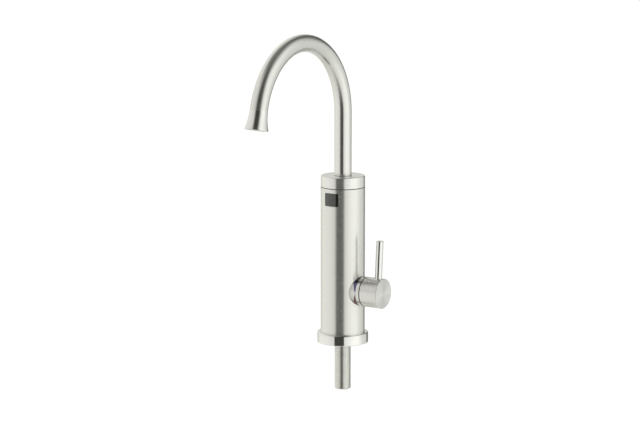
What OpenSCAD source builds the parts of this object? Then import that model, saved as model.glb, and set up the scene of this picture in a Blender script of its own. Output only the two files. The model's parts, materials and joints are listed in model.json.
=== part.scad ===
// Electric instant water heater tap, in millimetres.
// The origin is the centre of the foot's underside, where the tap meets the worktop.
// Z points up, the spout and the display face -Y, and the handle is on +X.

/* [Body] */
// Outside diameter of the body tube
body_d = 57; // [56:0.5:60]
// Wall of the body tube
body_wall = 1; // [0.8:0.1:1.2]
// Length of the body tube
body_len = 188.8; // [187:0.2:230]

/* [Foot] */
// Outside diameter of the foot flange
flange_d = 66; // [65:0.5:74]
// Height of the foot flange
flange_h = 13.5; // [12:0.5:16]
// Thickness of the foot's floor
floor_t = 4.5; // [4:0.1:5.5]
// Rounding of the foot's top edge
flange_edge_r = 1.5; // [0.5:0.1:2.5]
// Rounding of the foot's bottom edge
foot_edge_r = 0.8; // [0.3:0.1:1.5]
// Height of the collar that centres the body tube on the foot
spigot_h = 5; // [3:0.5:7]
// Wall of the collar that centres the body tube
spigot_wall = 2; // [1.5:0.1:2.4]
// Width of the sealing ring under the foot
gasket_w = 5.8; // [4:0.1:6]
// Thickness of the sealing ring under the foot
gasket_t = 2; // [1.5:0.1:2.5]
// Inside diameter of the sealing ring
gasket_bore = 49.2; // [48:0.1:50]

/* [Shank] */
// Outside diameter of the threaded shank, a half inch pipe thread
shank_d = 20.955; // [20.5:0.005:21]
// Length of the shank below the worktop face
shank_len = 62; // [40:1:90]
// Bore of the shank
shank_bore = 15; // [12:0.5:16]
// Chamfer at the shank's lower end
shank_chamfer = 1; // [0.5:0.1:1.5]
// Height of the shank's seat ring above the foot's floor
shank_seat_h = 3.5; // [2.5:0.1:5]
// Outside diameter of the inlet pipe
inlet_d = 12; // [10:0.5:13]
// Wall of the inlet pipe
inlet_wall = 1.5; // [1:0.1:2]
// Bore of the cord gland
gland_bore = 6.6; // [6:0.1:7]
// Distance from the shank's axis to the cord gland's axis
gland_y = 18; // [17.8:0.1:18.4]

/* [Top cap] */
// How much smaller the top cap's radius is than the body tube's
cap_step = 0.1; // [0:0.05:0.5]
// Height of the top cap
cap_h = 14; // [13.5:0.1:18]
// Rounding of the top cap's upper edge
cap_edge_r = 0.8; // [0.4:0.1:1.5]
// Thickness of the top cap's roof
cap_roof = 5; // [4.5:0.1:6]
// Wall of the top cap
cap_wall = 2.2; // [1.8:0.1:3]
// Thickness of the dark seal between body and cap
seal_t = 0.6; // [0.4:0.1:1]

/* [Spout] */
// Outside diameter of the spout tube
tube_d = 22; // [20:0.5:24]
// Wall of the spout tube
tube_wall = 1; // [0.8:0.1:1.2]
// Straight height of the spout tube above the cap
riser_len = 81.4; // [60:0.2:120]
// Radius of the spout's bend, at the tube's centre
bend_r = 95.4; // [80:0.2:110]
// Angle that the bend turns through
bend_angle = 167.2; // [150:0.2:178]
// Diameter of the nozzle where it meets the tube
nozzle_neck_d = 22.6; // [22.6:0.1:24]
// Diameter of the nozzle's mouth
nozzle_mouth_d = 30; // [28:0.5:34]
// Length of the nozzle outside the tube
nozzle_len = 23.5; // [20:0.5:30]
// Diameter of the aerator insert
aerator_d = 23.8; // [22:0.1:24]
// Height of the aerator insert
aerator_h = 9.5; // [8:0.5:11]
// Depth of the aerator's face inside the nozzle's mouth
aerator_recess = 1.5; // [0.5:0.1:2.5]
// Diameter of the spout's tail in its socket
tail_d = 18; // [17:0.1:18.4]

/* [Handle] */
// Height of the handle's axis above the worktop
handle_z = 69; // [66:0.5:70]
// Diameter of the knob and its collar
knob_d = 38.4; // [37:0.2:42]
// Length of the knob
knob_len = 25; // [23.5:0.5:30]
// How far the collar stands out from the body tube
collar_out = 7.7; // [7:0.1:10]
// Gap between collar and knob
knob_gap = 0.6; // [0.4:0.1:1.2]
// Rounding of the knob's outer edge
knob_edge_r = 0.9; // [0.4:0.1:1.5]
// Diameter of the lever rod
lever_d = 9.2; // [8:0.1:10]
// Length of the lever rod from the handle's axis to its tip
lever_len = 68; // [50:0.5:68]
// Distance from the knob's rear face to the lever's axis
lever_in = 16.2; // [16:0.1:18]
// Outward lean of the lever, in degrees
lever_lean = 2.5; // [0:0.1:5]
// Thickness of the blue and red inlays
mark_t = 0.5; // [0.3:0.05:0.8]
// Distance from the collar's outer face to the inlays' outer edge
mark_back = 4.9; // [4.5:0.1:5.5]
// How much an inlay widens for each millimetre above the handle's axis
mark_taper = 0.41; // [0.3:0.01:0.6]

/* [Display] */
// Width of the display window
window_w = 20; // [16:0.5:21]
// Height of the display window
window_h = 17; // [14:0.5:18]
// Corner radius of the display window
window_corner = 1.6; // [1:0.1:3]
// Distance from the body tube's top edge to the window's top edge
window_drop = 5.3; // [5:0.1:7]

/* [Valve] */
// Outside diameter of the valve barrel
barrel_d = 27.6; // [27.4:0.1:28.4]
// Bore of the valve barrel
barrel_bore = 25.2; // [24.6:0.1:25.6]
// Thickness of each ceramic disc
disc_t = 3; // [2.5:0.1:3.5]
// Diameter of the handle's spindle
spindle_d = 10; // [9:0.1:10.6]
// Diameter of the ports in the ceramic discs
port_d = 4.4; // [3.6:0.1:5]
// Travel of the flow switch's plunger
switch_travel = 1.5; // [1:0.1:2]
// Outside diameter of the flow switch
switch_d = 24; // [22:0.5:25]

/* [Heater] */
// Outside diameter of the heating chamber
tank_d = 40; // [39:0.2:40.6]
// Wall of the heating chamber
tank_wall = 2.5; // [2:0.1:2.8]
// Distance of the chamber's axis behind the body's axis, away from the handle
tank_shift = 6.5; // [6.3:0.1:6.7]
// Diameter of the heating coil at the middle of its tube
coil_d = 25; // [23:0.5:26]
// Diameter of the heating coil's tube
coil_tube_d = 4; // [3.5:0.1:4.4]
// Number of turns of the heating coil
coil_turns = 5; // [4:1:5]
// Climb of each turn of the heating coil
coil_pitch = 6.5; // [5.5:0.1:6.6]
// Diameter of the cold water pipe beside the chamber
bypass_d = 7; // [6:0.5:7.6]
// Thickness of the circuit boards
board_t = 1.6; // [1.2:0.1:2]

/* [Clearances] */
// Clearance of a fixed fit, on each side
fit_gap = 0.2; // [0.1:0.05:0.25]
// Clearance of a turning or sliding fit, on each side
run_gap = 0.05; // [0.02:0.01:0.08]
// Clearance where a piece is seated on a curved surface
seat_gap = 0.05; // [0.02:0.01:0.1]

/* [Hidden] */
$fn = 96;
eps = 0.01;

// Colours, as the photo shows them outside and as such parts are made inside
brushed = [0.82, 0.82, 0.79];
polished = [0.88, 0.88, 0.87];
brass_tone = [0.78, 0.66, 0.36];
rubber_tone = [0.12, 0.12, 0.12];
smoked = [0.16, 0.16, 0.15];
resin_white = [0.90, 0.89, 0.84];
resin_black = [0.15, 0.15, 0.16];
board_green = [0.12, 0.36, 0.20];
ceramic_tone = [0.93, 0.91, 0.86];
cold_blue = [0.27, 0.25, 0.52];
hot_red = [0.50, 0.20, 0.18];

// Body, foot and cap
body_r = body_d / 2;
body_in = body_r - body_wall;
body_top = flange_h + body_len;
flange_r = flange_d / 2;
spigot_r = body_in - fit_gap;
spigot_in = spigot_r - spigot_wall;
spigot_top = flange_h + spigot_h;
gasket_in = gasket_bore / 2;
cap_z = body_top + seal_t;
cap_top = cap_z + cap_h;
cap_r = body_r - cap_step;
roof_z = cap_top - cap_roof;
cap_spigot_h = 3;

// Shank, gland and screws in the foot
shank_r = shank_d / 2;
neck_r = shank_r - 0.3;
shank_seat_r = shank_r + 1.7;
shank_seat_top = floor_t + shank_seat_h;
nipple_r = inlet_d / 2 + 2;
nipple_top = shank_seat_top + 8;
strainer_t = 3;
strainer_depth = 6;
strainer_bar = 1;
gland_wall = 1.1;
gland_lip = 1;
gland_lip_h = 2;
gland_r = gland_bore / 2 + gland_wall;
screw_place_r = 20;
screw_angles = [30, 150, 270];
screw_r = 1.5;
screw_head_r = 3;
screw_head_h = 1.6;
screw_grip = 8;
earth_x = 11;
earth_y = -17;
earth_r = 2;

// Chassis: floor, rear spine, shelf and posts
chassis_r = body_in - 0.3;
chassis_z = spigot_top + 3.5;
chassis_t = 2.5;
chassis_top = chassis_z + chassis_t;
post_r = 3.2;
spine_t = 2.2;
spine_half_angle = 28;
wire_x = 6;
wire_y = -23;
wire_hole_r = 3.5;

// Terminal block with three ways, on the chassis
block_x = -21;
block_w = 11;
block_len = 20;
block_h = 9;
ridge_w = 5;
ridge_h = 13;
way_pitch = 6.4;
way_z = 4;
way_r = 1.6;
clamp_z = 7;
clamp_r = 1.7;

// Valve on the handle's axis, measured along X from the body's axis
barrel_r = barrel_d / 2;
barrel_bore_r = barrel_bore / 2;
barrel_back = -14;
collar_end = body_r + collar_out;
mark_end = collar_end - mark_back;
mark_start = 0.5;
mark_tip = 0.6;
barrel_end = collar_end - 3.2;
bore_floor = 8;
seal_thick = 1.2;
case_r = barrel_bore_r - fit_gap;
case_in = case_r - 1.4;
case_end = barrel_end - 5;
case_front_t = 4;
disc_r = case_in - 0.1;
fixed_disc_x = bore_floor + seal_thick;
moving_disc_x = fixed_disc_x + disc_t + run_gap;
carrier_x = moving_disc_x + disc_t;
carrier_t = 3;
spindle_r = spindle_d / 2;
drive_r = spindle_r - 0.4;
port_place_r = 6;
nut_hex_h = 2.6;
nut_bore_r = spindle_r + 1.5;
collar_r = knob_d / 2;
collar_edge_r = 0.4;
knob_r = knob_d / 2;
knob_x = collar_end + knob_gap;
knob_cavity = 7;
knob_cavity_r = knob_r - 3.5;
knob_bore_end = knob_x + lever_in - 3.6;
lever_r = lever_d / 2;
lever_x = knob_x + lever_in;
lever_seat = knob_r - 3;
lever_edge_r = 0.7;
lever_stud_r = 2.95;
lever_stud_in = 6;
grub_x = knob_x + knob_cavity + 2.6;
grub_r = 1.55;

// Water ways up from the valve
boss_rise = 2;
inlet_boss_r = 8;
valve_low = handle_z - barrel_r - boss_rise;
valve_high = handle_z + barrel_r + boss_rise;
hot_boss_r = 7;
cold_boss_r = bypass_d / 2 + 2;
bypass_x = body_in - bypass_d / 2 - 2.5;
bypass_r = bypass_d / 2;
pipe_wall = 1;

// Flow switch, stacked on the valve
stack_x = -tank_shift;
switch_r = switch_d / 2;
switch_wall = 3;
cup_h = 4;
cup_floor = 2;
diaphragm_t = 1;
cover_h = 7.5;
cover_roof = 1.5;
diaphragm_z = valve_high + cup_h;
cover_z = diaphragm_z + diaphragm_t;
cover_top = cover_z + cover_h;
plate_z = cover_z + run_gap;
plate_t = 1.2;
stem_r = 2.5;
stem_top = cover_top + 2;
spring_wire = 0.9;
spring_r = 4.8;
spring_turns = 4;
spring_z = plate_z + plate_t + run_gap;
spring_end = cover_top - cover_roof - run_gap;
button_r = 1.5;
button_z = stem_top + run_gap;
micro_z = button_z + switch_travel + 0.3;
micro_w = 20;
micro_d = 6.4;
micro_h = 6.5;
micro_top = micro_z + micro_h;
holder_t = 1.5;

// Spout socket under the cap
socket_top = roof_z - 3;
socket_flange_t = 3;
socket_flange_r = 20;
socket_len = 27;
socket_r = 13;
socket_z = socket_top - socket_len;
socket_floor = 3;
socket_screw_place = 16.5;
socket_screw_r = 1.5;
socket_screw_grip = 1.5;
socket_head_r = 2.7;
socket_head_h = 2;

// Heating chamber, from its shelf up to what stands on it under the socket
shelf_z = micro_top + 0.7;
shelf_t = 2.5;
tank_z = shelf_z + shelf_t;
tank_r = tank_d / 2;
tank_in = tank_r - tank_wall;
tank_floor = 3;
coil_foot = 9.5;
cutout_h = 9;
blade_h = 4;
lid_t = 3;
lid_top = socket_z - seat_gap - blade_h - cutout_h;
lid_z = lid_top - lid_t;
tank_len = lid_z - tank_z;
plug_h = 6;
o_ring_r = 0.9;
coil_r = coil_d / 2;
coil_tube_r = coil_tube_d / 2;
coil_z = tank_z + tank_floor + coil_foot - coil_pitch / 2 + 1;
coil_inner_r = 4.5;
coil_bend_r = 4;
leg_top = lid_top + 4;
bushing_r = coil_tube_r + 1.2;
feed_r = 3;
feed_y = 15;
cutout_x = stack_x - 8.5;
cutout_y = -9;
cutout_r = 7.5;
sensor_x = stack_x + 8.5;
sensor_y = -10;
sensor_r = 2;
outlet_x = stack_x - 2.5;
outlet_y = 14.5;
outlet_r = 3;

// Control board beside the chamber
board_x = tank_r - tank_shift + 0.7;
board_w = 32;
board_z = tank_z + 5;
board_h = 44;
relay_size = [7, 8, 16];
relay_place = [0, 5.2, 6];
transistor_size = [4.4, 8, 11];
transistor_place = [0, -13.5, 6];
sink_size = [1.2, 10, 17];
sink_place = [0, -14.5, 5.5];
capacitor_r = 4;
capacitor_h = 7;
capacitor_place = [0, -9, 31];

// The spout's tail in its socket
port_z = socket_z + 7.5;
tail_r = tail_d / 2;
tail_z = socket_top - 13;
tail_bore_r = tail_r - 3;
ring_z = socket_top + 1.6;
ring_t = 1;
ring_r = tail_r + 1.4;
ring_groove_r = tail_r - 0.8;
tail_seal_r = 0.72;
tail_seal_z = [tail_z + 3, tail_z + 7];
washer_t = 0.6;
tube_r = tube_d / 2;
tube_in = tube_r - tube_wall;
cap_hole_r = tube_r + 0.25;
tube_sink = 1.5;
washer_z = cap_top - tube_sink;
tube_z = washer_z + washer_t;
bend_z = cap_top + riser_len;
tail_plug = 12;

// Nozzle
neck_nozzle_r = nozzle_neck_d / 2;
mouth_r = nozzle_mouth_d / 2;
flare_rise = mouth_r - neck_nozzle_r;
flare_r = (nozzle_len * nozzle_len + flare_rise * flare_rise) / (2 * flare_rise);
aerator_r = aerator_d / 2;
nozzle_plug = 5;
nozzle_plug_r = tube_in - seat_gap - nozzle_plug * nozzle_plug / (2 * (bend_r - tube_r));
grid_t = 1.6;
grid_hole_r = 0.85;
grid_step = 2.7;

// Display
window_z = body_top - window_drop - window_h / 2;
lens_flange = 1.5;
lens_t = 1.4;
board_y = -(body_in - 6.6);
frame_w = 25;
frame_h = 21;
frame_wall = 1.5;
led_w = 17;
led_h = 11;
led_d = 3.2;

// A tube standing on the XY plane
module ring(outer, inner, high) {
    difference() {
        cylinder(r = outer, h = high);
        translate([0, 0, -1]) cylinder(r = inner, h = high + 2);
    }
}

// A bar standing on the XY plane, with rounded lower and upper edges
module rounded_bar(radius, high, low_edge, high_edge) {
    rotate_extrude() {
        translate([0, low_edge]) square([radius, high - low_edge - high_edge]);
        square([radius - low_edge, low_edge + eps]);
        translate([0, high - high_edge - eps]) square([radius - high_edge, high_edge + eps]);
        translate([radius - low_edge, low_edge]) circle(r = low_edge);
        translate([radius - high_edge, high - high_edge]) circle(r = high_edge);
    }
}

// Puts what is drawn along Z on the handle's axis, starting at x
module along_x(x) {
    translate([x, 0, handle_z]) rotate([0, 90, 0]) children();
}

// Puts what is drawn along Z on the lever's axis
module on_lever() {
    translate([lever_x, 0, handle_z]) rotate([0, lever_lean, 0]) children();
}

module rounded_rect(wide, high, corner) {
    square([wide - 2 * corner, high], center = true);
    square([wide, high - 2 * corner], center = true);
    for (sx = [-1, 1], sy = [-1, 1])
        translate([sx * (wide / 2 - corner), sy * (high / 2 - corner)]) circle(r = corner);
}

// A prism through the front of the body, with the window's outline grown by grow
module window_prism(grow) {
    translate([0, -body_r / 2, window_z]) rotate([90, 0, 0])
        linear_extrude(height = body_r)
            rounded_rect(window_w + 2 * grow, window_h + 2 * grow, window_corner + grow);
}

// Puts what is drawn at the origin on the heating chamber's axis
module at_tank(z) {
    translate([stack_x, 0, z]) children();
}

// One ring of points round p, square to the direction d
function tube_ring(p, d, side, radius, count) =
    let (u = side - (side * d) * d, v = u / norm(u), w = cross(d, v))
    [for (i = [0 : count - 1]) p + radius * (cos(360 * i / count) * v + sin(360 * i / count) * w)];

function heading(path, i) =
    let (a = path[max(i - 1, 0)][0], b = path[min(i + 1, len(path) - 1)][0])
    (b - a) / norm(b - a);

// Sweeps a round tube along a path, a list of [point, side direction]
module swept_tube(path, radius, count) {
    last = len(path) - 1;
    points = [for (i = [0 : last]) each
        tube_ring(path[i][0], heading(path, i), path[i][1], radius, count)];
    walls = [for (i = [0 : last - 1], k = [0 : count - 1])
        let (a = i * count + k, b = i * count + (k + 1) % count)
        each [[a, a + count, b + count], [a, b + count, b]]];
    start_cap = [for (k = [0 : count - 1]) k];
    end_cap = [for (k = [count - 1 : -1 : 0]) last * count + k];
    polyhedron(points, concat([start_cap], walls, [end_cap]));
}

// Heating coil: down one leg, inwards turned foot, the helix, and up the other leg
slope = atan(coil_pitch / (PI * coil_d));
function around(angle) = [cos(angle), sin(angle), 0];
function coil_point(angle, radius) =
    [stack_x, 0, coil_z + coil_pitch * angle / 360] + radius * around(angle);
function spiral_radius(angle) = coil_r - (coil_r - coil_inner_r) * (1 - cos(angle)) / 2;
foot_start = coil_point(-180, coil_inner_r);
helix_end = coil_point(360 * coil_turns, coil_r);
coil_path = concat(
    [[[foot_start.x, foot_start.y + coil_bend_r, leg_top], [-1, 0, 0]]],
    [for (b = [-90 : 22.5 : -22.5])
        [foot_start + coil_bend_r * [0, -sin(b), 1 - cos(b)], [-1, 0, 0]]],
    [for (a = [-180 : 22.5 : -22.5]) [coil_point(a, spiral_radius(a)), around(a)]],
    [for (a = [0 : 22.5 : 360 * coil_turns]) [coil_point(a, coil_r), around(a)]],
    [for (b = [25 : 21.6 : 90])
        [helix_end + coil_bend_r * [0, sin(b) - sin(slope), cos(slope) - cos(b)], [1, 0, 0]]],
    [[[helix_end.x, helix_end.y + coil_bend_r * (1 - sin(slope)), leg_top], [1, 0, 0]]]
);
leg_a_xy = [helix_end.x, coil_bend_r * (1 - sin(slope))];
leg_b_xy = [foot_start.x, coil_bend_r];
coil_gap = min([for (i = [8 : len(coil_path) - 6]) for (j = [i + 10 : len(coil_path) - 4])
    norm(coil_path[i][0] - coil_path[j][0])]) - coil_tube_d;
echo("least gap between the heating coil's turns, in mm", coil_gap);

// Return spring of the flow switch
spring_path = [for (a = [0 : 24 : 360 * spring_turns])
    [[stack_x, 0, spring_z + spring_wire / 2
        + (spring_end - spring_z - spring_wire) * a / (360 * spring_turns)]
        + spring_r * around(a), around(a)]];

// Foot flange: rounded ring, floor, and the collar that centres the body tube
module base_flange() {
    color(polished) difference() {
        union() {
            rounded_bar(flange_r, flange_h, foot_edge_r, flange_edge_r);
            cylinder(r = spigot_r, h = spigot_top);
        }
        translate([0, 0, floor_t]) cylinder(r = spigot_in, h = spigot_top);
        translate([0, 0, -1]) cylinder(r = neck_r + fit_gap, h = floor_t + 2);
        translate([0, gland_y, -1]) cylinder(r = gland_r + seat_gap, h = floor_t + 2);
        translate([0, 0, -1])
            ring(gasket_in + gasket_w + fit_gap / 2, gasket_in - fit_gap / 2, gasket_t + 1);
        for (angle = screw_angles) rotate([0, 0, angle]) translate([screw_place_r, 0, -1]) {
            cylinder(r = screw_r + fit_gap, h = floor_t + 2);
            cylinder(r = screw_head_r + fit_gap, h = screw_head_h + 1);
        }
        translate([earth_x, earth_y, floor_t - 3]) cylinder(r = earth_r, h = floor_t);
    }
}

module base_gasket() {
    color(rubber_tone) ring(gasket_in + gasket_w, gasket_in, gasket_t);
}

// Threaded shank: pipe stud, neck in the foot, seat ring and nipple for the inlet pipe
module shank() {
    color(brushed) difference() {
        union() {
            rotate_extrude() polygon([
                [0, -shank_len], [shank_r - shank_chamfer, -shank_len],
                [shank_r, shank_chamfer - shank_len], [shank_r, 0], [neck_r, 0], [neck_r, floor_t],
                [shank_seat_r, floor_t], [shank_seat_r, shank_seat_top], [0, shank_seat_top]]);
            cylinder(r = nipple_r, h = nipple_top, $fn = 6);
        }
        translate([0, 0, -shank_len - 1]) cylinder(r = shank_bore / 2, h = shank_len + floor_t);
        cylinder(r = inlet_d / 2 - inlet_wall, h = nipple_top + 1);
    }
}

// Strainer that keeps grit out of the valve: a ring with crossed bars
module inlet_strainer() {
    strainer_r = shank_bore / 2 - fit_gap / 2;
    color(resin_white) translate([0, 0, -shank_len + strainer_depth]) {
        ring(strainer_r, strainer_r - 1.2, strainer_t);
        intersection() {
            cylinder(r = strainer_r - 0.6, h = 1);
            for (angle = [0, 90], shift = [-3.6, -1.2, 1.2, 3.6])
                rotate([0, 0, angle]) translate([-shank_bore / 2, shift - strainer_bar / 2, 0])
                    cube([shank_bore, strainer_bar, 1]);
        }
    }
}

module cord_gland() {
    color(rubber_tone) translate([0, gland_y, 0]) difference() {
        union() {
            cylinder(r = gland_r, h = floor_t);
            translate([0, 0, floor_t]) cylinder(r = gland_r + gland_lip, h = gland_lip_h);
        }
        translate([0, 0, -1]) cylinder(r = gland_bore / 2, h = floor_t + gland_lip_h + 2);
    }
}

// Three screws that hold the chassis to the foot, put in from below
module base_screws() {
    color(polished) for (angle = screw_angles)
        rotate([0, 0, angle]) translate([screw_place_r, 0, 0]) difference() {
            union() {
                cylinder(r = screw_head_r, h = screw_head_h);
                cylinder(r = screw_r, h = floor_t + screw_grip);
            }
            translate([0, 0, -1]) cylinder(r = 1.3, h = 2, $fn = 6);
        }
}

module earth_screw() {
    color(brass_tone) translate([earth_x, earth_y, 0]) {
        translate([0, 0, floor_t - 2.8]) cylinder(r = earth_r - seat_gap, h = 3);
        translate([0, 0, floor_t]) cylinder(r = 4, h = 0.8);
        translate([0, 0, floor_t + 0.8]) cylinder(r = 3.4, h = 2.4, $fn = 6);
    }
}

// Body tube with the display window and the valve's hole
module body_shell() {
    color(brushed) difference() {
        translate([0, 0, flange_h]) ring(body_r, body_in, body_len);
        along_x(0) cylinder(r = barrel_r + 2 * fit_gap, h = body_r + 5);
        window_prism(0);
    }
}

// Inner frame: posts on the foot, a floor, a rear spine and the shelf under the heater
module chassis() {
    color(resin_white) difference() {
        union() {
            for (angle = screw_angles) rotate([0, 0, angle])
                translate([screw_place_r, 0, floor_t]) cylinder(r = post_r, h = chassis_z - floor_t);
            translate([0, 0, chassis_z]) cylinder(r = chassis_r, h = chassis_t);
            translate([0, 0, chassis_z]) rotate([0, 0, 90 - spine_half_angle])
                rotate_extrude(angle = 2 * spine_half_angle)
                    translate([chassis_r - spine_t, 0]) square([spine_t, lid_top - chassis_z]);
            translate([0, 0, shelf_z]) cylinder(r = chassis_r, h = shelf_t);
            for (side = [-1, 1])
                translate([board_x - 2.4, side * 14.6 - 1.5, shelf_z])
                    cube([2.3, 3, board_z + 8 - shelf_z]);
        }
        for (angle = screw_angles) rotate([0, 0, angle])
            translate([screw_place_r, 0, floor_t - 1]) cylinder(r = screw_r, h = screw_grip + 2);
        translate([0, 0, chassis_z - 1]) cylinder(r = nipple_r + 0.5, h = chassis_t + 2);
        translate([0, gland_y, chassis_z - 1]) cylinder(r = gland_bore / 2, h = chassis_t + 2);
        translate([bypass_x, 0, shelf_z - 1]) cylinder(r = bypass_r + fit_gap, h = shelf_t + 2);
        at_tank(shelf_z - 1) translate([0, feed_y, 0])
            cylinder(r = feed_r + fit_gap, h = shelf_t + 2);
        translate([wire_x, wire_y, shelf_z - 1]) cylinder(r = wire_hole_r, h = shelf_t + 2);
    }
}

module terminal_block() {
    color(resin_white) translate([block_x, -block_len / 2, chassis_top]) difference() {
        union() {
            cube([block_w, block_len, block_h]);
            translate([(block_w - ridge_w) / 2, 0, 0]) cube([ridge_w, block_len, ridge_h]);
        }
        for (way = [-1 : 1]) translate([0, block_len / 2 + way_pitch * way, 0]) {
            translate([-1, 0, way_z]) rotate([0, 90, 0]) cylinder(r = way_r, h = block_w + 2);
            translate([block_w / 2, 0, clamp_z]) cylinder(r = clamp_r, h = ridge_h);
        }
    }
}

module inlet_pipe() {
    color(brass_tone) translate([0, 0, nipple_top])
        ring(inlet_d / 2, inlet_d / 2 - inlet_wall, valve_low - nipple_top);
}

// Brass valve body: a barrel for the cartridge, with inlet, hot and cold bosses
module valve_body() {
    color(brass_tone) difference() {
        union() {
            along_x(barrel_back) cylinder(r = barrel_r, h = barrel_end - barrel_back);
            translate([0, 0, valve_low]) cylinder(r = inlet_boss_r, h = handle_z - valve_low);
            translate([stack_x, 0, handle_z]) cylinder(r = hot_boss_r, h = valve_high - handle_z);
            translate([bypass_x, 0, handle_z]) cylinder(r = cold_boss_r, h = valve_high - handle_z);
        }
        along_x(bore_floor) cylinder(r = barrel_bore_r, h = barrel_end);
        translate([0, 0, valve_low - 1])
            cylinder(r = inlet_d / 2 - inlet_wall, h = handle_z - valve_low);
        along_x(0) cylinder(r = port_d / 2, h = bore_floor + 1);
        translate([stack_x, 0, handle_z]) cylinder(r = feed_r - pipe_wall, h = body_r);
        translate([bypass_x, 0, handle_z]) cylinder(r = bypass_r - pipe_wall, h = body_r);
        along_x(stack_x) translate([-port_place_r, 0, 0])
            cylinder(r = port_d / 2, h = bore_floor + 1 - stack_x);
    }
}

module cartridge_case() {
    color(resin_white) along_x(bore_floor) difference() {
        cylinder(r = case_r, h = case_end - bore_floor);
        translate([0, 0, -1])
            cylinder(r = case_in, h = case_end - bore_floor - case_front_t + 1);
        cylinder(r = spindle_r + run_gap, h = case_end);
    }
}

// A disc on the handle's axis with three water ports
module ported_disc(x, thick, port_r) {
    along_x(x) difference() {
        cylinder(r = disc_r, h = thick);
        for (angle = [0, 120, 240]) rotate([0, 0, angle + 180])
            translate([port_place_r, 0, -1]) cylinder(r = port_r, h = thick + 2);
    }
}

module port_seal() {
    color(rubber_tone) ported_disc(bore_floor, seal_thick, port_d / 2 + 0.3);
}

module fixed_disc() {
    color(ceramic_tone) ported_disc(fixed_disc_x, disc_t, port_d / 2);
}

// The turning disc: a pocket on its face joins the inlet to the hot or the cold port
module moving_disc() {
    color(ceramic_tone) along_x(moving_disc_x) difference() {
        cylinder(r = disc_r, h = disc_t);
        translate([0, 0, -1]) rotate([0, 0, 150]) rotate_extrude(angle = 150)
            translate([port_place_r - port_d / 2, 0]) square([port_d, disc_t / 2 + 1]);
    }
}

module cartridge_nut() {
    color(brass_tone) along_x(case_end) difference() {
        union() {
            cylinder(r = barrel_bore_r - fit_gap / 2, h = barrel_end - case_end);
            translate([0, 0, barrel_end - case_end])
                cylinder(r = barrel_bore_r - 0.6, h = nut_hex_h, $fn = 6);
        }
        translate([0, 0, -1]) cylinder(r = nut_bore_r, h = barrel_end);
    }
}

// The wedge of an inlay on the collar's front, side 1 above and -1 below, run on into the body
module mark_wedge(side, outer, inner) {
    intersection() {
        along_x(0) ring(outer, inner, collar_end);
        translate([0, 0, handle_z]) rotate([90, 0, 0]) linear_extrude(height = collar_r + 2)
            polygon([
                [mark_end, side * mark_start], [mark_end, side * (collar_r + 2)],
                [mark_end - mark_taper * (collar_r + 2), side * (collar_r + 2)],
                [mark_end - mark_tip, side * mark_start]]);
    }
}

// An inlay, cut to stand on the body tube
module mark_inlay(side) {
    difference() {
        mark_wedge(side, collar_r, collar_r - mark_t);
        cylinder(r = body_r + seat_gap, h = body_top);
    }
}

// Collar that stands on the body tube and covers the valve barrel
module valve_collar() {
    color(polished) difference() {
        along_x(0) rounded_bar(collar_r, collar_end, 1, collar_edge_r);
        cylinder(r = body_r + seat_gap, h = body_top);
        along_x(0) cylinder(r = barrel_r + fit_gap, h = collar_end + 1);
        for (side = [-1, 1]) mark_wedge(side, collar_r + 1, collar_r - mark_t - seat_gap);
    }
}

module cold_mark() {
    color(cold_blue) mark_inlay(1);
}

module hot_mark() {
    color(hot_red) mark_inlay(-1);
}

// Knob: a rounded cup with a hub for the spindle, a seat for the lever and a screw hole
module handle_knob() {
    color(brushed) difference() {
        along_x(knob_x) rounded_bar(knob_r, knob_len, collar_edge_r, knob_edge_r);
        along_x(knob_x - 1) cylinder(r = knob_cavity_r, h = knob_cavity + 1);
        along_x(knob_x) cylinder(r = drive_r + fit_gap / 4, h = knob_bore_end - knob_x);
        on_lever() translate([0, 0, lever_stud_in]) cylinder(r = lever_stud_r + seat_gap, h = knob_r);
        on_lever() translate([0, 0, lever_seat]) cylinder(r = lever_r + seat_gap, h = knob_r);
        translate([grub_x, 0, handle_z - knob_r - 1]) cylinder(r = grub_r + seat_gap, h = knob_r + 1);
    }
}

module handle_lever() {
    color(polished) on_lever() {
        translate([0, 0, lever_seat])
            rounded_bar(lever_r, lever_len - lever_seat, 0.2, lever_edge_r);
        translate([0, 0, lever_stud_in + 0.3])
            cylinder(r = lever_stud_r, h = lever_seat - lever_stud_in);
    }
}

module grub_screw() {
    color(resin_black) translate([grub_x, 0, handle_z - knob_r + 2.5]) difference() {
        cylinder(r = grub_r, h = knob_r - 2.5 - drive_r - 0.1);
        translate([0, 0, -1]) cylinder(r = 0.9, h = 3, $fn = 6);
    }
}

// Spindle: a carrier that turns the moving disc, a shaft, and a drive end in the knob
module spindle() {
    shaft_x = carrier_x + carrier_t;
    drive_x = barrel_end + nut_hex_h;
    groove_x = case_end - case_front_t / 2;
    color(brass_tone) difference() {
        union() {
            along_x(carrier_x) cylinder(r = disc_r, h = carrier_t);
            along_x(shaft_x - eps) cylinder(r = spindle_r, h = drive_x - shaft_x + eps);
            along_x(drive_x - eps) cylinder(r = drive_r, h = knob_bore_end - drive_x - 0.2);
        }
        along_x(groove_x - 0.8) ring(spindle_r + 1, spindle_r - 1.1, 1.6);
    }
}

module spindle_o_ring() {
    seal_r = 0.55;
    groove_x = case_end - case_front_t / 2;
    color(rubber_tone) along_x(groove_x) rotate_extrude()
        translate([spindle_r + 0.02 - seal_r, 0]) circle(r = seal_r, $fn = 24);
}

// Flow switch: lower cup, rubber diaphragm, and the cover that guides the plunger
module switch_cup() {
    color(resin_black) translate([0, 0, valve_high]) difference() {
        at_tank(0) cylinder(r = switch_r, h = cup_h);
        at_tank(cup_floor) cylinder(r = switch_r - switch_wall, h = cup_h);
        at_tank(-1) cylinder(r = feed_r - pipe_wall, h = cup_h);
        translate([stack_x, 0, cup_h / 2 + 0.4]) rotate([-90, 0, 0])
            cylinder(r = 1.2, h = switch_r + 1);
    }
}

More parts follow.
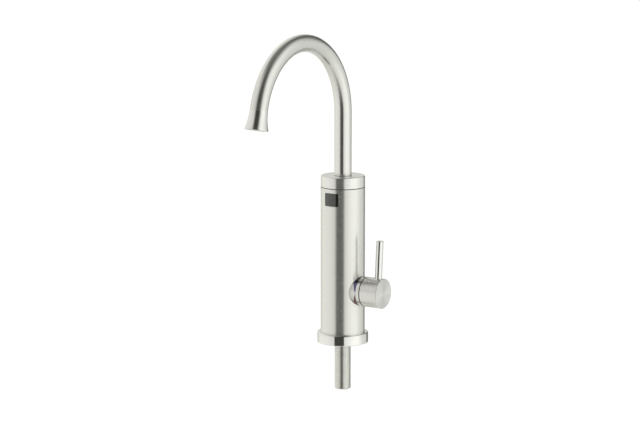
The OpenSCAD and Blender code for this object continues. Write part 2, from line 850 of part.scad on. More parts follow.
module diaphragm() {
    color(rubber_tone) at_tank(diaphragm_z) cylinder(r = switch_r, h = diaphragm_t);
}

module switch_cover() {
    holder_h = micro_z + micro_h / 2 - cover_top;
    color(resin_black) difference() {
        union() {
            at_tank(cover_z) cylinder(r = switch_r, h = cover_h);
            for (side = [-1, 1])
                translate([stack_x - 7, side * (micro_d / 2 + fit_gap + holder_t / 2) - holder_t / 2,
                    cover_top - eps]) cube([14, holder_t, holder_h + eps]);
        }
        at_tank(cover_z - 1)
            cylinder(r = switch_r - switch_wall, h = cover_h - cover_roof + 1);
        at_tank(cover_z) cylinder(r = stem_r + run_gap, h = cover_h + 1);
    }
}

module switch_plunger() {
    color(resin_white) {
        at_tank(plate_z) cylinder(r = switch_r - switch_wall - 1.2, h = plate_t);
        at_tank(plate_z) cylinder(r = stem_r, h = stem_top - plate_z);
    }
}

module plunger_spring() {
    color(polished) swept_tube(spring_path, spring_wire / 2, 6);
}

module microswitch() {
    color(resin_black) difference() {
        union() {
            translate([stack_x - micro_w / 2, -micro_d / 2, micro_z])
                cube([micro_w, micro_d, micro_h]);
            for (shift = [-7, 0, 7]) translate([stack_x + shift - 1.6, -0.3, micro_top - eps])
                cube([3.2, 0.6, 0.5]);
        }
        at_tank(micro_z - 1) cylinder(r = button_r + run_gap, h = switch_travel + 3.5);
    }
}

module switch_button() {
    color(hot_red) at_tank(button_z) cylinder(r = button_r, h = micro_z + 1.5 - button_z);
}

// A straight pipe from the switch cup up into the heating chamber, with its side elbow
module hot_feed_pipe() {
    elbow_z = valve_high + cup_h / 2 + 0.4;
    color(brass_tone) difference() {
        union() {
            translate([stack_x, switch_r + seat_gap, elbow_z]) rotate([-90, 0, 0])
                cylinder(r = 1.8, h = feed_y - switch_r);
            translate([stack_x, feed_y, elbow_z - 2]) cylinder(r = feed_r, h = tank_z - elbow_z + 2);
        }
        translate([stack_x, feed_y, elbow_z]) cylinder(r = feed_r - pipe_wall, h = tank_z);
        translate([stack_x, switch_r - 1, elbow_z]) rotate([-90, 0, 0])
            cylinder(r = 1.2, h = feed_y - switch_r + 1);
    }
}

// Heating chamber: a cup for the coil, and its plugged lid
module tank_shell() {
    color(resin_black) difference() {
        at_tank(tank_z) cylinder(r = tank_r, h = tank_len);
        at_tank(tank_z + tank_floor) cylinder(r = tank_in, h = tank_len);
        at_tank(tank_z - 1) translate([0, feed_y, 0]) cylinder(r = feed_r - pipe_wall, h = 6);
    }
}

module tank_lid() {
    lid_cut = plug_h + lid_t + 2;
    color(resin_black) difference() {
        union() {
            at_tank(lid_z) cylinder(r = tank_r, h = lid_t);
            at_tank(lid_z - plug_h) cylinder(r = tank_in - 0.1, h = plug_h + eps);
        }
        at_tank(lid_z - plug_h / 2 - o_ring_r) ring(tank_in + 1, tank_in - 2 * o_ring_r - 0.1, 2 * o_ring_r);
        translate([leg_a_xy.x, leg_a_xy.y, lid_z - plug_h - 1])
            cylinder(r = coil_tube_r + fit_gap, h = lid_cut);
        translate([leg_b_xy.x, leg_b_xy.y, lid_z - plug_h - 1])
            cylinder(r = coil_tube_r + fit_gap, h = lid_cut);
        translate([sensor_x, sensor_y, lid_z - plug_h - 1])
            cylinder(r = sensor_r + seat_gap, h = lid_cut);
        translate([outlet_x, outlet_y, lid_z - plug_h - 1])
            cylinder(r = outlet_r - pipe_wall, h = lid_cut);
    }
}

module tank_seal() {
    seal_middle = tank_in - 0.05 - o_ring_r + 0.02;
    color(rubber_tone) at_tank(lid_z - plug_h / 2) rotate_extrude()
        translate([seal_middle, 0]) circle(r = o_ring_r - 0.03, $fn = 24);
}

module heating_coil() {
    color(polished) swept_tube(coil_path, coil_tube_r, 8);
}

// Ceramic bushings round the coil's legs, each with its flat terminal blade
module coil_terminals() {
    color(ceramic_tone) for (leg = [leg_a_xy, leg_b_xy]) translate([leg.x, leg.y, lid_top]) {
        ring(bushing_r, coil_tube_r + fit_gap / 2, 3);
        translate([0, 0, leg_top - lid_top + seat_gap]) cylinder(r = bushing_r, h = 0.8);
        translate([-3.15, -0.4, leg_top - lid_top + 0.8]) cube([6.3, 0.8, 5.5]);
    }
}

module thermal_cutout() {
    color(resin_black) translate([cutout_x, cutout_y, lid_top]) {
        cylinder(r = cutout_r, h = 3);
        translate([0, 0, 3]) cylinder(r = cutout_r - 1, h = cutout_h - 3);
        for (side = [-1, 1]) translate([side * 4 - 0.4, -2.4, cutout_h - eps]) cube([0.8, 4.8, blade_h]);
    }
}

module temperature_sensor() {
    color(brass_tone) translate([sensor_x, sensor_y, 0]) {
        translate([0, 0, lid_z - plug_h - 4]) cylinder(r = sensor_r, h = lid_top - lid_z + plug_h + 4);
        translate([0, 0, lid_top]) cylinder(r = 3.4, h = 3, $fn = 6);
        translate([0, 0, lid_top + 3]) cylinder(r = 1.6, h = 2.5);
    }
}

module control_board() {
    color(board_green) translate([board_x, -board_w / 2, board_z]) cube([board_t, board_w, board_h]);
}

// Relay, switching transistor with its cooling plate, and a capacitor
module board_parts() {
    color(resin_black) translate([board_x + board_t, 0, board_z]) {
        translate(relay_place) cube(relay_size);
        translate(transistor_place) cube(transistor_size);
        translate(sink_place) cube(sink_size);
        translate(capacitor_place) rotate([0, 90, 0]) cylinder(r = capacitor_r, h = capacitor_h);
    }
}

// A pipe that stands on z and turns into the socket's side through a ball elbow
module riser_pipe(x, y, z, radius, ball_r) {
    reach = norm([x, y]) - socket_r - seat_gap;
    turn = atan2(-y, -x);
    difference() {
        union() {
            translate([x, y, z]) cylinder(r = radius, h = port_z - z);
            translate([x, y, port_z]) sphere(r = ball_r);
            translate([x, y, port_z]) rotate([0, 90, turn]) cylinder(r = radius, h = reach);
        }
        translate([x, y, z - 1]) cylinder(r = radius - pipe_wall, h = port_z - z + 1);
        translate([x, y, port_z]) rotate([0, 90, turn])
            cylinder(r = radius - pipe_wall, h = reach + 1);
        translate([0, 0, socket_z]) cylinder(r = socket_r + seat_gap, h = socket_len);
    }
}

module hot_outlet_pipe() {
    color(brass_tone) riser_pipe(outlet_x, outlet_y, lid_top, outlet_r, outlet_r + 0.6);
}

module cold_bypass_pipe() {
    color(brass_tone) riser_pipe(bypass_x, 0, valve_high, bypass_r, bypass_r + 0.7);
}

// Socket under the cap in which both waters meet and the spout's tail turns
module outlet_socket() {
    color(brass_tone) difference() {
        union() {
            translate([0, 0, socket_z]) cylinder(r = socket_r, h = socket_len);
            translate([0, 0, socket_top - socket_flange_t])
                cylinder(r = socket_flange_r, h = socket_flange_t);
        }
        translate([0, 0, socket_z + socket_floor]) cylinder(r = tail_r + run_gap, h = socket_len);
        for (angle = screw_angles) rotate([0, 0, angle])
            translate([socket_screw_place, 0, socket_z])
                cylinder(r = socket_screw_r + fit_gap, h = socket_len + 1);
        translate([0, 0, port_z]) rotate([0, 90, 0])
            cylinder(r = bypass_r - pipe_wall, h = socket_r + 1);
        translate([0, 0, port_z]) rotate([0, 90, atan2(outlet_y, outlet_x)])
            cylinder(r = outlet_r - pipe_wall, h = socket_r + 1);
    }
}

module socket_screws() {
    head_z = socket_top - socket_flange_t;
    color(polished) for (angle = screw_angles)
        rotate([0, 0, angle]) translate([socket_screw_place, 0, head_z]) {
            translate([0, 0, -socket_head_h]) cylinder(r = socket_head_r, h = socket_head_h);
            cylinder(r = socket_screw_r, h = roof_z + socket_screw_grip - head_z);
        }
}

module cap_seal() {
    color(rubber_tone) translate([0, 0, body_top]) ring(cap_r - 0.3, spigot_r, seal_t);
}

// Top cap: rounded edge, roof with the spout's hole, screw bosses and a centring collar
module top_cap() {
    color(brushed) difference() {
        union() {
            translate([0, 0, cap_z]) rounded_bar(cap_r, cap_h, 0.2, cap_edge_r);
            translate([0, 0, body_top - cap_spigot_h]) cylinder(r = spigot_r, h = cap_spigot_h + 1);
        }
        difference() {
            translate([0, 0, body_top - cap_spigot_h - 1])
                cylinder(r = cap_r - cap_wall, h = roof_z - body_top + cap_spigot_h + 1);
            ring(body_r, spigot_in, cap_z);
            for (angle = screw_angles) rotate([0, 0, angle])
                translate([socket_screw_place, 0, socket_top])
                    cylinder(r = 3, h = roof_z - socket_top + 1);
        }
        for (angle = screw_angles) rotate([0, 0, angle])
            translate([socket_screw_place, 0, socket_top - 1])
                cylinder(r = socket_screw_r + seat_gap, h = roof_z + 3 - socket_top);
        translate([0, 0, roof_z - 1]) cylinder(r = tail_r + 0.3, h = cap_roof + 2);
        translate([0, 0, washer_z]) cylinder(r = cap_hole_r, h = tube_sink + 1);
    }
}

module display_lens() {
    color(smoked) {
        intersection() {
            ring(body_r - 0.1, body_in - 0.1, body_top);
            window_prism(-0.15);
        }
        intersection() {
            ring(body_in - seat_gap, body_in - lens_t, body_top);
            window_prism(lens_flange);
        }
    }
}

// Frame that holds the display's board behind the lens
module display_frame() {
    lens_half = window_w / 2 + lens_flange;
    front_y = 0.1 - sqrt(pow(body_in - lens_t, 2) - lens_half * lens_half);
    color(resin_black) difference() {
        translate([-frame_w / 2, front_y, window_z - frame_h / 2])
            cube([frame_w, board_y - front_y + board_t, frame_h]);
        translate([-frame_w / 2 + frame_wall, front_y - 1, window_z - frame_h / 2 + frame_wall])
            cube([frame_w - 2 * frame_wall, body_in, frame_h - 2 * frame_wall]);
    }
}

module display_board() {
    inner_w = frame_w - 2 * frame_wall - fit_gap;
    inner_h = frame_h - 2 * frame_wall - fit_gap;
    color(board_green) translate([-inner_w / 2, board_y, window_z - inner_h / 2])
        cube([inner_w, board_t, inner_h]);
}

// Three-digit module, each digit with its seven bars sunk in the face
module led_module() {
    bar = 0.5;
    digit_w = 2.6;
    digit_h = 5.2;
    color(resin_black) translate([0, board_y - led_d, window_z]) difference() {
        translate([-led_w / 2, 0, -led_h / 2]) cube([led_w, led_d, led_h]);
        for (place = [-1 : 1]) translate([place * 4.8, 0, 0]) {
            for (row = [-1 : 1])
                translate([-digit_w / 2 + 0.3, -1, row * digit_h / 2 - bar / 2])
                    cube([digit_w - 0.6, 1.3, bar]);
            for (side = [-1, 1], row = [-1, 1])
                translate([side * digit_w / 2 - bar / 2, -1, row * digit_h / 4 - digit_h / 4 + 0.5])
                    cube([bar, 1.3, digit_h / 2 - 1]);
        }
    }
}

// Puts what is drawn along Z at the bend's end, pointing the way the water leaves
module at_nozzle() {
    translate([0, -bend_r, bend_z]) rotate([90, 0, 90]) rotate([0, 0, bend_angle])
        translate([bend_r, 0, 0]) rotate([-90, 0, 0]) children();
}

// Spout tube: the straight riser, and the bend over to the nozzle
module spout_tube() {
    color(brushed) {
        translate([0, 0, tube_z]) ring(tube_r, tube_in, bend_z - tube_z);
        translate([0, -bend_r, bend_z]) rotate([90, 0, 90]) rotate_extrude(angle = bend_angle)
            translate([bend_r, 0]) difference() {
                circle(r = tube_r);
                circle(r = tube_in);
            }
    }
}

// Brass tail: a running fit in the socket, grooved for its seals and its snap ring
module spout_tail() {
    groove_w = 2 * tail_seal_r + 0.3;
    color(brass_tone) difference() {
        union() {
            translate([0, 0, tail_z]) cylinder(r = tail_r, h = tube_z - tail_z);
            translate([0, 0, tube_z]) cylinder(r = tube_in - seat_gap, h = tail_plug);
        }
        translate([0, 0, tail_z - 1]) cylinder(r = tail_bore_r, h = tube_z + tail_plug);
        for (z = tail_seal_z) translate([0, 0, z - groove_w / 2])
            ring(tail_r + 1, tail_r - 2 * tail_seal_r, groove_w);
        translate([0, 0, ring_z - seat_gap])
            ring(tail_r + 1, ring_groove_r, ring_t + 2 * seat_gap);
    }
}

module spout_o_rings() {
    color(rubber_tone) for (z = tail_seal_z) translate([0, 0, z]) rotate_extrude()
        translate([tail_r + 0.02 - tail_seal_r, 0]) circle(r = tail_seal_r, $fn = 24);
}

module snap_ring() {
    color(polished) translate([0, 0, ring_z]) difference() {
        ring(ring_r, ring_groove_r + seat_gap, ring_t);
        translate([-ring_groove_r * 0.6, 0, -1]) cube([ring_groove_r * 1.2, ring_r + 1, ring_t + 2]);
    }
}

module spout_washer() {
    color(resin_white) translate([0, 0, washer_z]) ring(tube_r - seat_gap, tail_r + seat_gap, washer_t);
}

// Nozzle: a polished bell with a concave flare, plugged into the end of the spout tube
module nozzle_shell() {
    cavity_z = nozzle_len - aerator_recess - aerator_h;
    color(polished) at_nozzle() difference() {
        union() {
            rotate_extrude() difference() {
                square([mouth_r, nozzle_len]);
                translate([neck_nozzle_r + flare_r, 0]) circle(r = flare_r, $fn = 240);
            }
            translate([0, 0, -nozzle_plug]) cylinder(r = nozzle_plug_r, h = nozzle_plug + 1);
        }
        translate([0, 0, -nozzle_plug - 1]) cylinder(r = tube_in - 1.5, h = nozzle_len);
        translate([0, 0, cavity_z]) cylinder(r = aerator_r + seat_gap, h = nozzle_len);
    }
}

// Aerator: a ring body with a perforated face, seen from below
module aerator_insert() {
    color(resin_white) at_nozzle()
        translate([0, 0, nozzle_len - aerator_recess - aerator_h]) difference() {
            cylinder(r = aerator_r, h = aerator_h);
            translate([0, 0, -1]) cylinder(r = aerator_r - 1.5, h = aerator_h - grid_t + 1);
            translate([0, 0, -1]) cylinder(r = grid_hole_r, h = aerator_h + 2);
            for (row = [1 : 3], hole = [0 : 6 * row - 1])
                rotate([0, 0, 60 * hole / row]) translate([row * grid_step, 0, -1])
                    cylinder(r = grid_hole_r, h = aerator_h + 2);
        }
}

base_flange();
base_gasket();
shank();
inlet_strainer();
cord_gland();
base_screws();
earth_screw();
body_shell();
chassis();
terminal_block();
inlet_pipe();
valve_body();
cartridge_case();
port_seal();
fixed_disc();
cartridge_nut();
valve_collar();
cold_mark();
hot_mark();
switch_cup();
diaphragm();
switch_cover();
microswitch();
hot_feed_pipe();
tank_shell();
tank_lid();
tank_seal();
heating_coil();
coil_terminals();
thermal_cutout();
temperature_sensor();
control_board();
board_parts();
hot_outlet_pipe();
cold_bypass_pipe();
outlet_socket();
socket_screws();
cap_seal();
top_cap();
display_lens();
display_frame();
display_board();
led_module();
spout_tube();
spout_tail();
spout_o_rings();
snap_ring();
spout_washer();
nozzle_shell();
aerator_insert();
handle_knob();
handle_lever();
grub_screw();
spindle();
spindle_o_ring();
moving_disc();
switch_plunger();
switch_button();
plunger_spring();
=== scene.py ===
# %% [markdown]
# # A kitchen tap that heats its own water
# The tap arrives as a packed assembly: every piece already has its real size and place.
# This lesson builds the studio round it, gives each piece its finish, and models the one
# form that the construction leaves plain, the pipe thread under the foot.
# Everything is in metres, with +Z up, the spout towards -Y and the handle on +X.

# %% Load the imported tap
import json
import math

import bmesh
import bpy
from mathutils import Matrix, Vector


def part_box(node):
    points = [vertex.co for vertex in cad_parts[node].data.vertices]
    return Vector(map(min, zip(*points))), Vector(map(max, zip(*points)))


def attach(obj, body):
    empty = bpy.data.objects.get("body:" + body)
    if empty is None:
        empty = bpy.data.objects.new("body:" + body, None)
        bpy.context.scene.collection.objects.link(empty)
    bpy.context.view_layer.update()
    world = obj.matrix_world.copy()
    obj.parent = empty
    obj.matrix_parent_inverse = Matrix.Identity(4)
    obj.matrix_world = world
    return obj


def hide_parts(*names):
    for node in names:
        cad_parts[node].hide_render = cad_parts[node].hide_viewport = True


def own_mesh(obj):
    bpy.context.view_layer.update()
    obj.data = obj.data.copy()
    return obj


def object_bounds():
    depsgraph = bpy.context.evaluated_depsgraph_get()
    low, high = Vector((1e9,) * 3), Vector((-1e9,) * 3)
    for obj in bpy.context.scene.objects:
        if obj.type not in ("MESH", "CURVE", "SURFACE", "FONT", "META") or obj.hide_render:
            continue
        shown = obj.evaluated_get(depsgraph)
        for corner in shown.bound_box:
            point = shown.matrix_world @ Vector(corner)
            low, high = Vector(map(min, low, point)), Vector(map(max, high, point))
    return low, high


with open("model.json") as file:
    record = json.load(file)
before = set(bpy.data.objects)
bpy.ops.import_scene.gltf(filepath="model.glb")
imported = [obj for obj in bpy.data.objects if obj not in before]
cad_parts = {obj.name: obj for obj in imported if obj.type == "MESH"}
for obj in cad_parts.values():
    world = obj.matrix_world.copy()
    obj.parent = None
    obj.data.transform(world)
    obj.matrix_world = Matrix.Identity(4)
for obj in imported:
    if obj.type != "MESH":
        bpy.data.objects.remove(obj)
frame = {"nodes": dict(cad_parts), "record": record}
cad_low, cad_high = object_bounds()
nodes = frame["nodes"]
record = frame["record"]
MM = 0.001
print("pieces in the frame:", len(nodes))
print("size in mm:", [round(side / MM, 1) for side in cad_high - cad_low])

# %% [markdown]
# ## Camera
# The picture was taken with a long lens from a little above the middle of the tap, a third
# of the way round from the spout to the handle. A long lens keeps the column's edges almost
# parallel. The camera could be placed by eye, but working it out from an angle, a height and
# a distance keeps it honest: the tap then fills the frame as it does in the picture.

# %% Place the camera
CAMERA_AZIMUTH = math.radians(33.2)
CAMERA_ELEVATION = math.radians(9.71)
CAMERA_DISTANCE = 3.12
LENS_MM = 137.0
SENSOR_MM = 36.0
AIM_HEIGHT = 167.2 * MM
AIM_LEFT = 29.3 * MM


def direction(azimuth, elevation):
    """A unit vector; azimuth 0 is towards -Y and turns towards +X."""
    level = math.cos(elevation)
    return Vector((math.sin(azimuth) * level, -math.cos(azimuth) * level, math.sin(elevation)))


scene = bpy.context.scene
towards_camera = direction(CAMERA_AZIMUTH, CAMERA_ELEVATION)
image_right = Vector((math.cos(CAMERA_AZIMUTH), math.sin(CAMERA_AZIMUTH), 0.0))
aim = Vector((0.0, 0.0, AIM_HEIGHT)) - AIM_LEFT * image_right
camera_data = bpy.data.cameras.new("studio_camera")
camera_data.lens = LENS_MM
camera_data.sensor_width = SENSOR_MM
camera = bpy.data.objects.new("studio_camera", camera_data)
scene.collection.objects.link(camera)
scene.camera = camera
camera.location = aim + CAMERA_DISTANCE * towards_camera
camera.rotation_euler = towards_camera.to_track_quat("Z", "Y").to_euler()
print("camera at", [round(value, 3) for value in camera.location])

# %% [markdown]
# ## Helpers for nodes
# A shader is a small network, and writing it node by node is long. A few helpers keep the
# cells short: one adds a node and fills or links its inputs, and the others do what comes
# back in every material, such as arithmetic, a mix of colours or a change of range.

# %% Write the node helpers
NOISE_LOW, NOISE_HIGH = 0.3, 0.7


def place(tree, kind, settings=None, inputs=None):
    """Adds a shader node; an input given as a socket is linked, any other value is set."""
    node = tree.nodes.new("ShaderNode" + kind)
    for name, value in (settings or {}).items():
        setattr(node, name, value)
    for name, value in (inputs or {}).items():
        if isinstance(value, bpy.types.NodeSocket):
            tree.links.new(value, node.inputs[name])
        else:
            node.inputs[name].default_value = value
    return node


def arithmetic(tree, operation, first, second=0.0):
    """The result of one arithmetic step, as a socket."""
    return place(tree, "Math", {"operation": operation}, {0: first, 1: second}).outputs[0]


def mixed(tree, share, first, second):
    """A colour between first and second, by share from 0 to 1."""
    node = place(tree, "Mix", {"data_type": "RGBA"}, {0: share, 6: first, 7: second})
    return node.outputs[2]


def remapped(tree, value, low, high, start=NOISE_LOW, stop=NOISE_HIGH):
    """Carries value from start..stop, by default a noise's usual range, to low..high."""
    inputs = {"Value": value, "From Min": start, "From Max": stop, "To Min": low, "To Max": high}
    return place(tree, "MapRange", None, inputs).outputs[0]


def object_place(tree):
    """The Object coordinates, which stay with the piece when it moves."""
    return place(tree, "TexCoord").outputs["Object"]


def split(tree, vector):
    """The X, Y and Z of a vector, as sockets."""
    return place(tree, "SeparateXYZ", None, {0: vector}).outputs


print("a noise lies mostly between", NOISE_LOW, "and", NOISE_HIGH)

# %% [markdown]
# ## Studio
# Polished metal has no colour of its own to speak of: what shows is the room. In the picture
# pale walls stand all round the tap, with a black card just left of the camera and a
# darker corner behind on the right. They draw the dark stripe down the body and the dark
# line at its right edge. The ceiling is unlit, which blackens the top of the spout's bend,
# and the table below is a dull grey. All this could be cards on stands. One huge ball round
# the tap does the same with softer edges: it is painted with one ramp round the horizon for
# what stands at the tap's height, one for what stands above, and two fades, to the ceiling
# and to the table, and each place glows as strongly as it would be lit. The camera looks
# through the ball, at a plain white world. The black card and the dark ceiling would leave
# matt pieces at half their own colour, so towards those the walls glow twice as strongly,
# as if more lamps stood outside the mirrored part of the room.

# %% Describe the room by bearing from the camera
CARD = (0.055, 0.056, 0.05)
LOW_ROOM = [
    (-180, (0.80, 0.80, 0.77)),
    (-150, (0.67, 0.68, 0.62)),
    (-122, (0.93, 0.93, 0.87)),
    (-72, (0.89, 0.88, 0.85)),
    (-48, (0.79, 0.78, 0.75)),
    (-38.6, (0.70, 0.69, 0.66)),
    (-37.4, CARD),
    (4.5, CARD),
    (6.5, (0.78, 0.77, 0.74)),
    (20, (0.93, 0.93, 0.90)),
    (50, (1.10, 1.10, 1.06)),
    (72, (1.11, 1.11, 1.06)),
    (88, (0.91, 0.92, 0.88)),
    (100, (0.78, 0.79, 0.75)),
    (115, (0.70, 0.71, 0.68)),
    (130, (0.72, 0.73, 0.71)),
    (137, (0.20, 0.20, 0.18)),
    (158, (0.18, 0.18, 0.16)),
    (166, (0.78, 0.78, 0.75)),
]
HIGH_ROOM = [
    (-180, (0.70, 0.70, 0.67)),
    (-165, (0.90, 0.90, 0.86)),
    (-120, (0.84, 0.84, 0.80)),
    (-70, (0.76, 0.75, 0.73)),
    (-50, (0.62, 0.61, 0.59)),
    (-35, (0.20, 0.20, 0.19)),
    (-28, CARD),
    (9, CARD),
    (21, (0.25, 0.25, 0.24)),
    (36, (0.80, 0.80, 0.77)),
    (58, (1.06, 1.06, 1.02)),
    (90, (0.92, 0.92, 0.89)),
    (116, (0.66, 0.67, 0.65)),
    (130, (0.36, 0.36, 0.34)),
    (141, (0.10, 0.10, 0.09)),
    (161, (0.10, 0.10, 0.09)),
    (171, (0.42, 0.42, 0.40)),
]
CEILING = (0.11, 0.11, 0.10, 1)
TABLE = (0.66, 0.66, 0.63, 1)


def fill_ramp(node, stops):
    """Sets a colour ramp from (bearing in degrees, colour) pairs; it ends as it starts."""
    elements = node.color_ramp.elements
    whole = [*stops, (180, stops[0][1])]
    while len(elements) < len(whole):
        elements.new(0.5)
    for element, (bearing, colour) in zip(elements, whole):
        element.position = bearing / 360 + 0.5
        element.color = (*colour, 1.0)


print("stops round the room:", len(LOW_ROOM), "low and", len(HIGH_ROOM), "high")

# %% Write the stage helper and the fade


def stage_piece(name, mesh, material):
    """Turns a bmesh into a piece of the studio, which isn't part of the tap."""
    data = bpy.data.meshes.new(name)
    mesh.to_mesh(data)
    mesh.free()
    data.materials.append(material)
    piece = bpy.data.objects.new(name, data)
    scene.collection.objects.link(piece)
    return piece


def fade(tree, value, start, stop):
    """A smooth mask from 0 at start to 1 at stop."""
    inputs = {"Value": value, "From Min": start, "From Max": stop}
    return place(tree, "MapRange", {"interpolation_type": "SMOOTHSTEP"}, inputs).outputs[0]


def empty_tree(owner):
    """The cleared node tree of a material or a world."""
    owner.use_nodes = True
    owner.node_tree.nodes.clear()
    return owner.node_tree


scene.view_settings.view_transform = "Standard"
scene.world = bpy.data.worlds.new("plain_white")
white = empty_tree(scene.world)
plain = place(white, "Background", None, {"Color": (1, 1, 1, 1), "Strength": 1.0})
place(white, "OutputWorld", None, {"Surface": plain.outputs[0]})
print("world:", scene.world.name)

# %% Paint the room on a ball round the tap
ROOM_RADIUS = 20.0
ROOM_FACETS = 5
HIGH_STARTS, HIGH_FULL = 0.0, 0.25
CEILING_STARTS, CEILING_FULL = 0.6, 1.06
TABLE_STARTS, TABLE_FULL = -0.2, -1.3
MATT_LIFT = 1.15

paint = bpy.data.materials.new("room_paint")
tree = empty_tree(paint)
outwards = place(tree, "VectorMath", {"operation": "NORMALIZE"}, {0: object_place(tree)})
turned_back = {"Vector": outwards.outputs[0], "Angle": -CAMERA_AZIMUTH}
level = place(tree, "VectorRotate", {"rotation_type": "Z_AXIS"}, turned_back)
way = split(tree, level.outputs[0])
bearing = arithmetic(tree, "ARCTAN2", way["X"], arithmetic(tree, "MULTIPLY", way["Y"], -1.0))
turn_share = arithmetic(tree, "ADD", arithmetic(tree, "MULTIPLY", bearing, 0.5 / math.pi), 0.5)
low_ring = place(tree, "ValToRGB", None, {"Fac": turn_share})
high_ring = place(tree, "ValToRGB", None, {"Fac": turn_share})
fill_ramp(low_ring, LOW_ROOM)
fill_ramp(high_ring, HIGH_ROOM)
height = way["Z"]
upper = fade(tree, height, HIGH_STARTS, HIGH_FULL)
walls = mixed(tree, upper, low_ring.outputs[0], high_ring.outputs[0])
roofed = mixed(tree, fade(tree, height, CEILING_STARTS, CEILING_FULL), walls, CEILING)
room = mixed(tree, fade(tree, height, TABLE_STARTS, TABLE_FULL), roofed, TABLE)
to_matt = place(tree, "LightPath").outputs["Is Diffuse Ray"]
strength = arithmetic(tree, "ADD", arithmetic(tree, "MULTIPLY", to_matt, MATT_LIFT), 1.0)
room_light = place(tree, "Emission", None, {"Color": room, "Strength": strength})
place(tree, "OutputMaterial", None, {"Surface": room_light.outputs[0]})

ball = bmesh.new()
bmesh.ops.create_icosphere(ball, subdivisions=ROOM_FACETS, radius=ROOM_RADIUS)
room_piece = stage_piece("studio_room", ball, paint)
room_piece.visible_camera = False
print("nodes in the room's paint:", len(tree.nodes))

# %% [markdown]
# ## Floor and lamp
# The shank hangs below the worktop's level, so the floor lies at its lower end. It is a
# pale sheet that shows white to the camera and keeps only a breath of the tap's shadow.
# Metal looks past it to the room, because in the picture the stripes run down unbroken.
# One wide lamp overhead lifts the plastic and rubber pieces, and stays out of reflections.

# %% Lay the floor and hang the lamp
FLOOR_HALF = 6.0
SHADOW_SHARE = 0.14
FLOOR_GLOW = 1.06
SHEET_COLOUR = (0.9, 0.9, 0.89, 1)
LAMP_PLACE = (0.3, -0.4, 2.2)
LAMP_TILT = (math.radians(10), math.radians(8), 0.0)
LAMP_SIDE = 1.8
LAMP_WATTS = 9.0

pale_sheet = bpy.data.materials.new("pale_sheet")
tree = empty_tree(pale_sheet)
lit = place(tree, "BsdfDiffuse", None, {"Color": SHEET_COLOUR})
glow = place(tree, "Emission", None, {"Color": (1, 1, 1, 1), "Strength": FLOOR_GLOW})
path = place(tree, "LightPath").outputs
mirrored = arithmetic(tree, "MAXIMUM", path["Is Glossy Ray"], path["Is Transmission Ray"])
seen = arithmetic(tree, "MAXIMUM", path["Is Camera Ray"], mirrored)
glow_share = arithmetic(tree, "MULTIPLY", seen, 1.0 - SHADOW_SHARE)
sheet_mix = place(tree, "MixShader", None, {0: glow_share, 1: lit.outputs[0], 2: glow.outputs[0]})
place(tree, "OutputMaterial", None, {"Surface": sheet_mix.outputs[0]})

sheet = bmesh.new()
bmesh.ops.create_grid(sheet, x_segments=1, y_segments=1, size=FLOOR_HALF)
bmesh.ops.translate(sheet, verts=sheet.verts, vec=(0.0, 0.0, cad_low.z))
floor = stage_piece("studio_floor", sheet, pale_sheet)
floor.visible_glossy = False

lamp_data = bpy.data.lights.new("overhead", "AREA")
lamp_data.size = LAMP_SIDE
lamp_data.energy = LAMP_WATTS
lamp = bpy.data.objects.new("overhead", lamp_data)
lamp.location = LAMP_PLACE
lamp.rotation_euler = LAMP_TILT
lamp.visible_glossy = False
scene.collection.objects.link(lamp)
print("floor at", round(cad_low.z / MM, 1), "mm")

# %% [markdown]
# ## Turned and brushed lines
# Almost every metal piece here came off a lathe or went past a belt while it turned, so its
# fine lines run round its axis: rings on a side wall, circles on a face. An image of
# scratches would need unwrapping. Instead one node group draws noise that is stretched round
# the axis, from the distance to the axis and the place along it. Its two outputs are the
# height of the fine lines and a slower change of tone.

# %% Build the group of turned lines


def new_group(name, inputs, outputs):
    """An empty node group with the inputs, (title, kind, value), and float outputs named."""
    tree = bpy.data.node_groups.new(name, "ShaderNodeTree")
    for title, kind, value in inputs:
        socket = tree.interface.new_socket(title, in_out="INPUT", socket_type="NodeSocket" + kind)
        if value is not None:
            socket.default_value = value
    for title in outputs:
        tree.interface.new_socket(title, in_out="OUTPUT", socket_type="NodeSocketFloat")
    return tree, tree.nodes.new("NodeGroupInput").outputs, tree.nodes.new("NodeGroupOutput").inputs


def noise(tree, vector, scale, detail=2.0, rough=0.5):
    """The value of a noise pattern, as a socket."""
    inputs = {"Vector": vector, "Scale": scale, "Detail": detail, "Roughness": rough}
    return place(tree, "TexNoise", None, inputs).outputs[0]


FACE_SHARE = 0.7
BROAD_SHARE = 0.06
lines_group, given, result = new_group(
    "turned_lines",
    [("Vector", "Vector", None), ("Lines", "Float", 2500.0), ("Waver", "Float", 30.0)],
    ["Height", "Tone"],
)
axes = split(lines_group, given["Vector"])
flat = place(lines_group, "CombineXYZ", None, {"X": axes["X"], "Y": axes["Y"]}).outputs[0]
radius = place(lines_group, "VectorMath", {"operation": "LENGTH"}, {0: flat}).outputs["Value"]
outwards = arithmetic(lines_group, "MULTIPLY", radius, FACE_SHARE)
along = arithmetic(lines_group, "ADD", axes["Z"], outwards)
line_place = place(lines_group, "CombineXYZ", None, {
    "X": arithmetic(lines_group, "MULTIPLY", along, given["Lines"]),
    "Y": arithmetic(lines_group, "MULTIPLY", axes["X"], given["Waver"]),
    "Z": arithmetic(lines_group, "MULTIPLY", axes["Y"], given["Waver"]),
}).outputs[0]
for title, scale in (("Height", 1.0), ("Tone", BROAD_SHARE)):
    lines_group.links.new(noise(lines_group, line_place, scale), result[title])
print("group:", lines_group.name)

# %% [markdown]
# ## Handling marks and moulded grain
# Two more effects return on many pieces. Polished metal carries faint cloudy smudges from
# wiping, which change only how sharp its reflections are. Moulded plastic and rubber have
# the fine skin of their mould. Both are soft noise in three dimensions, so they need no
# seams, and each material sets their size and strength.

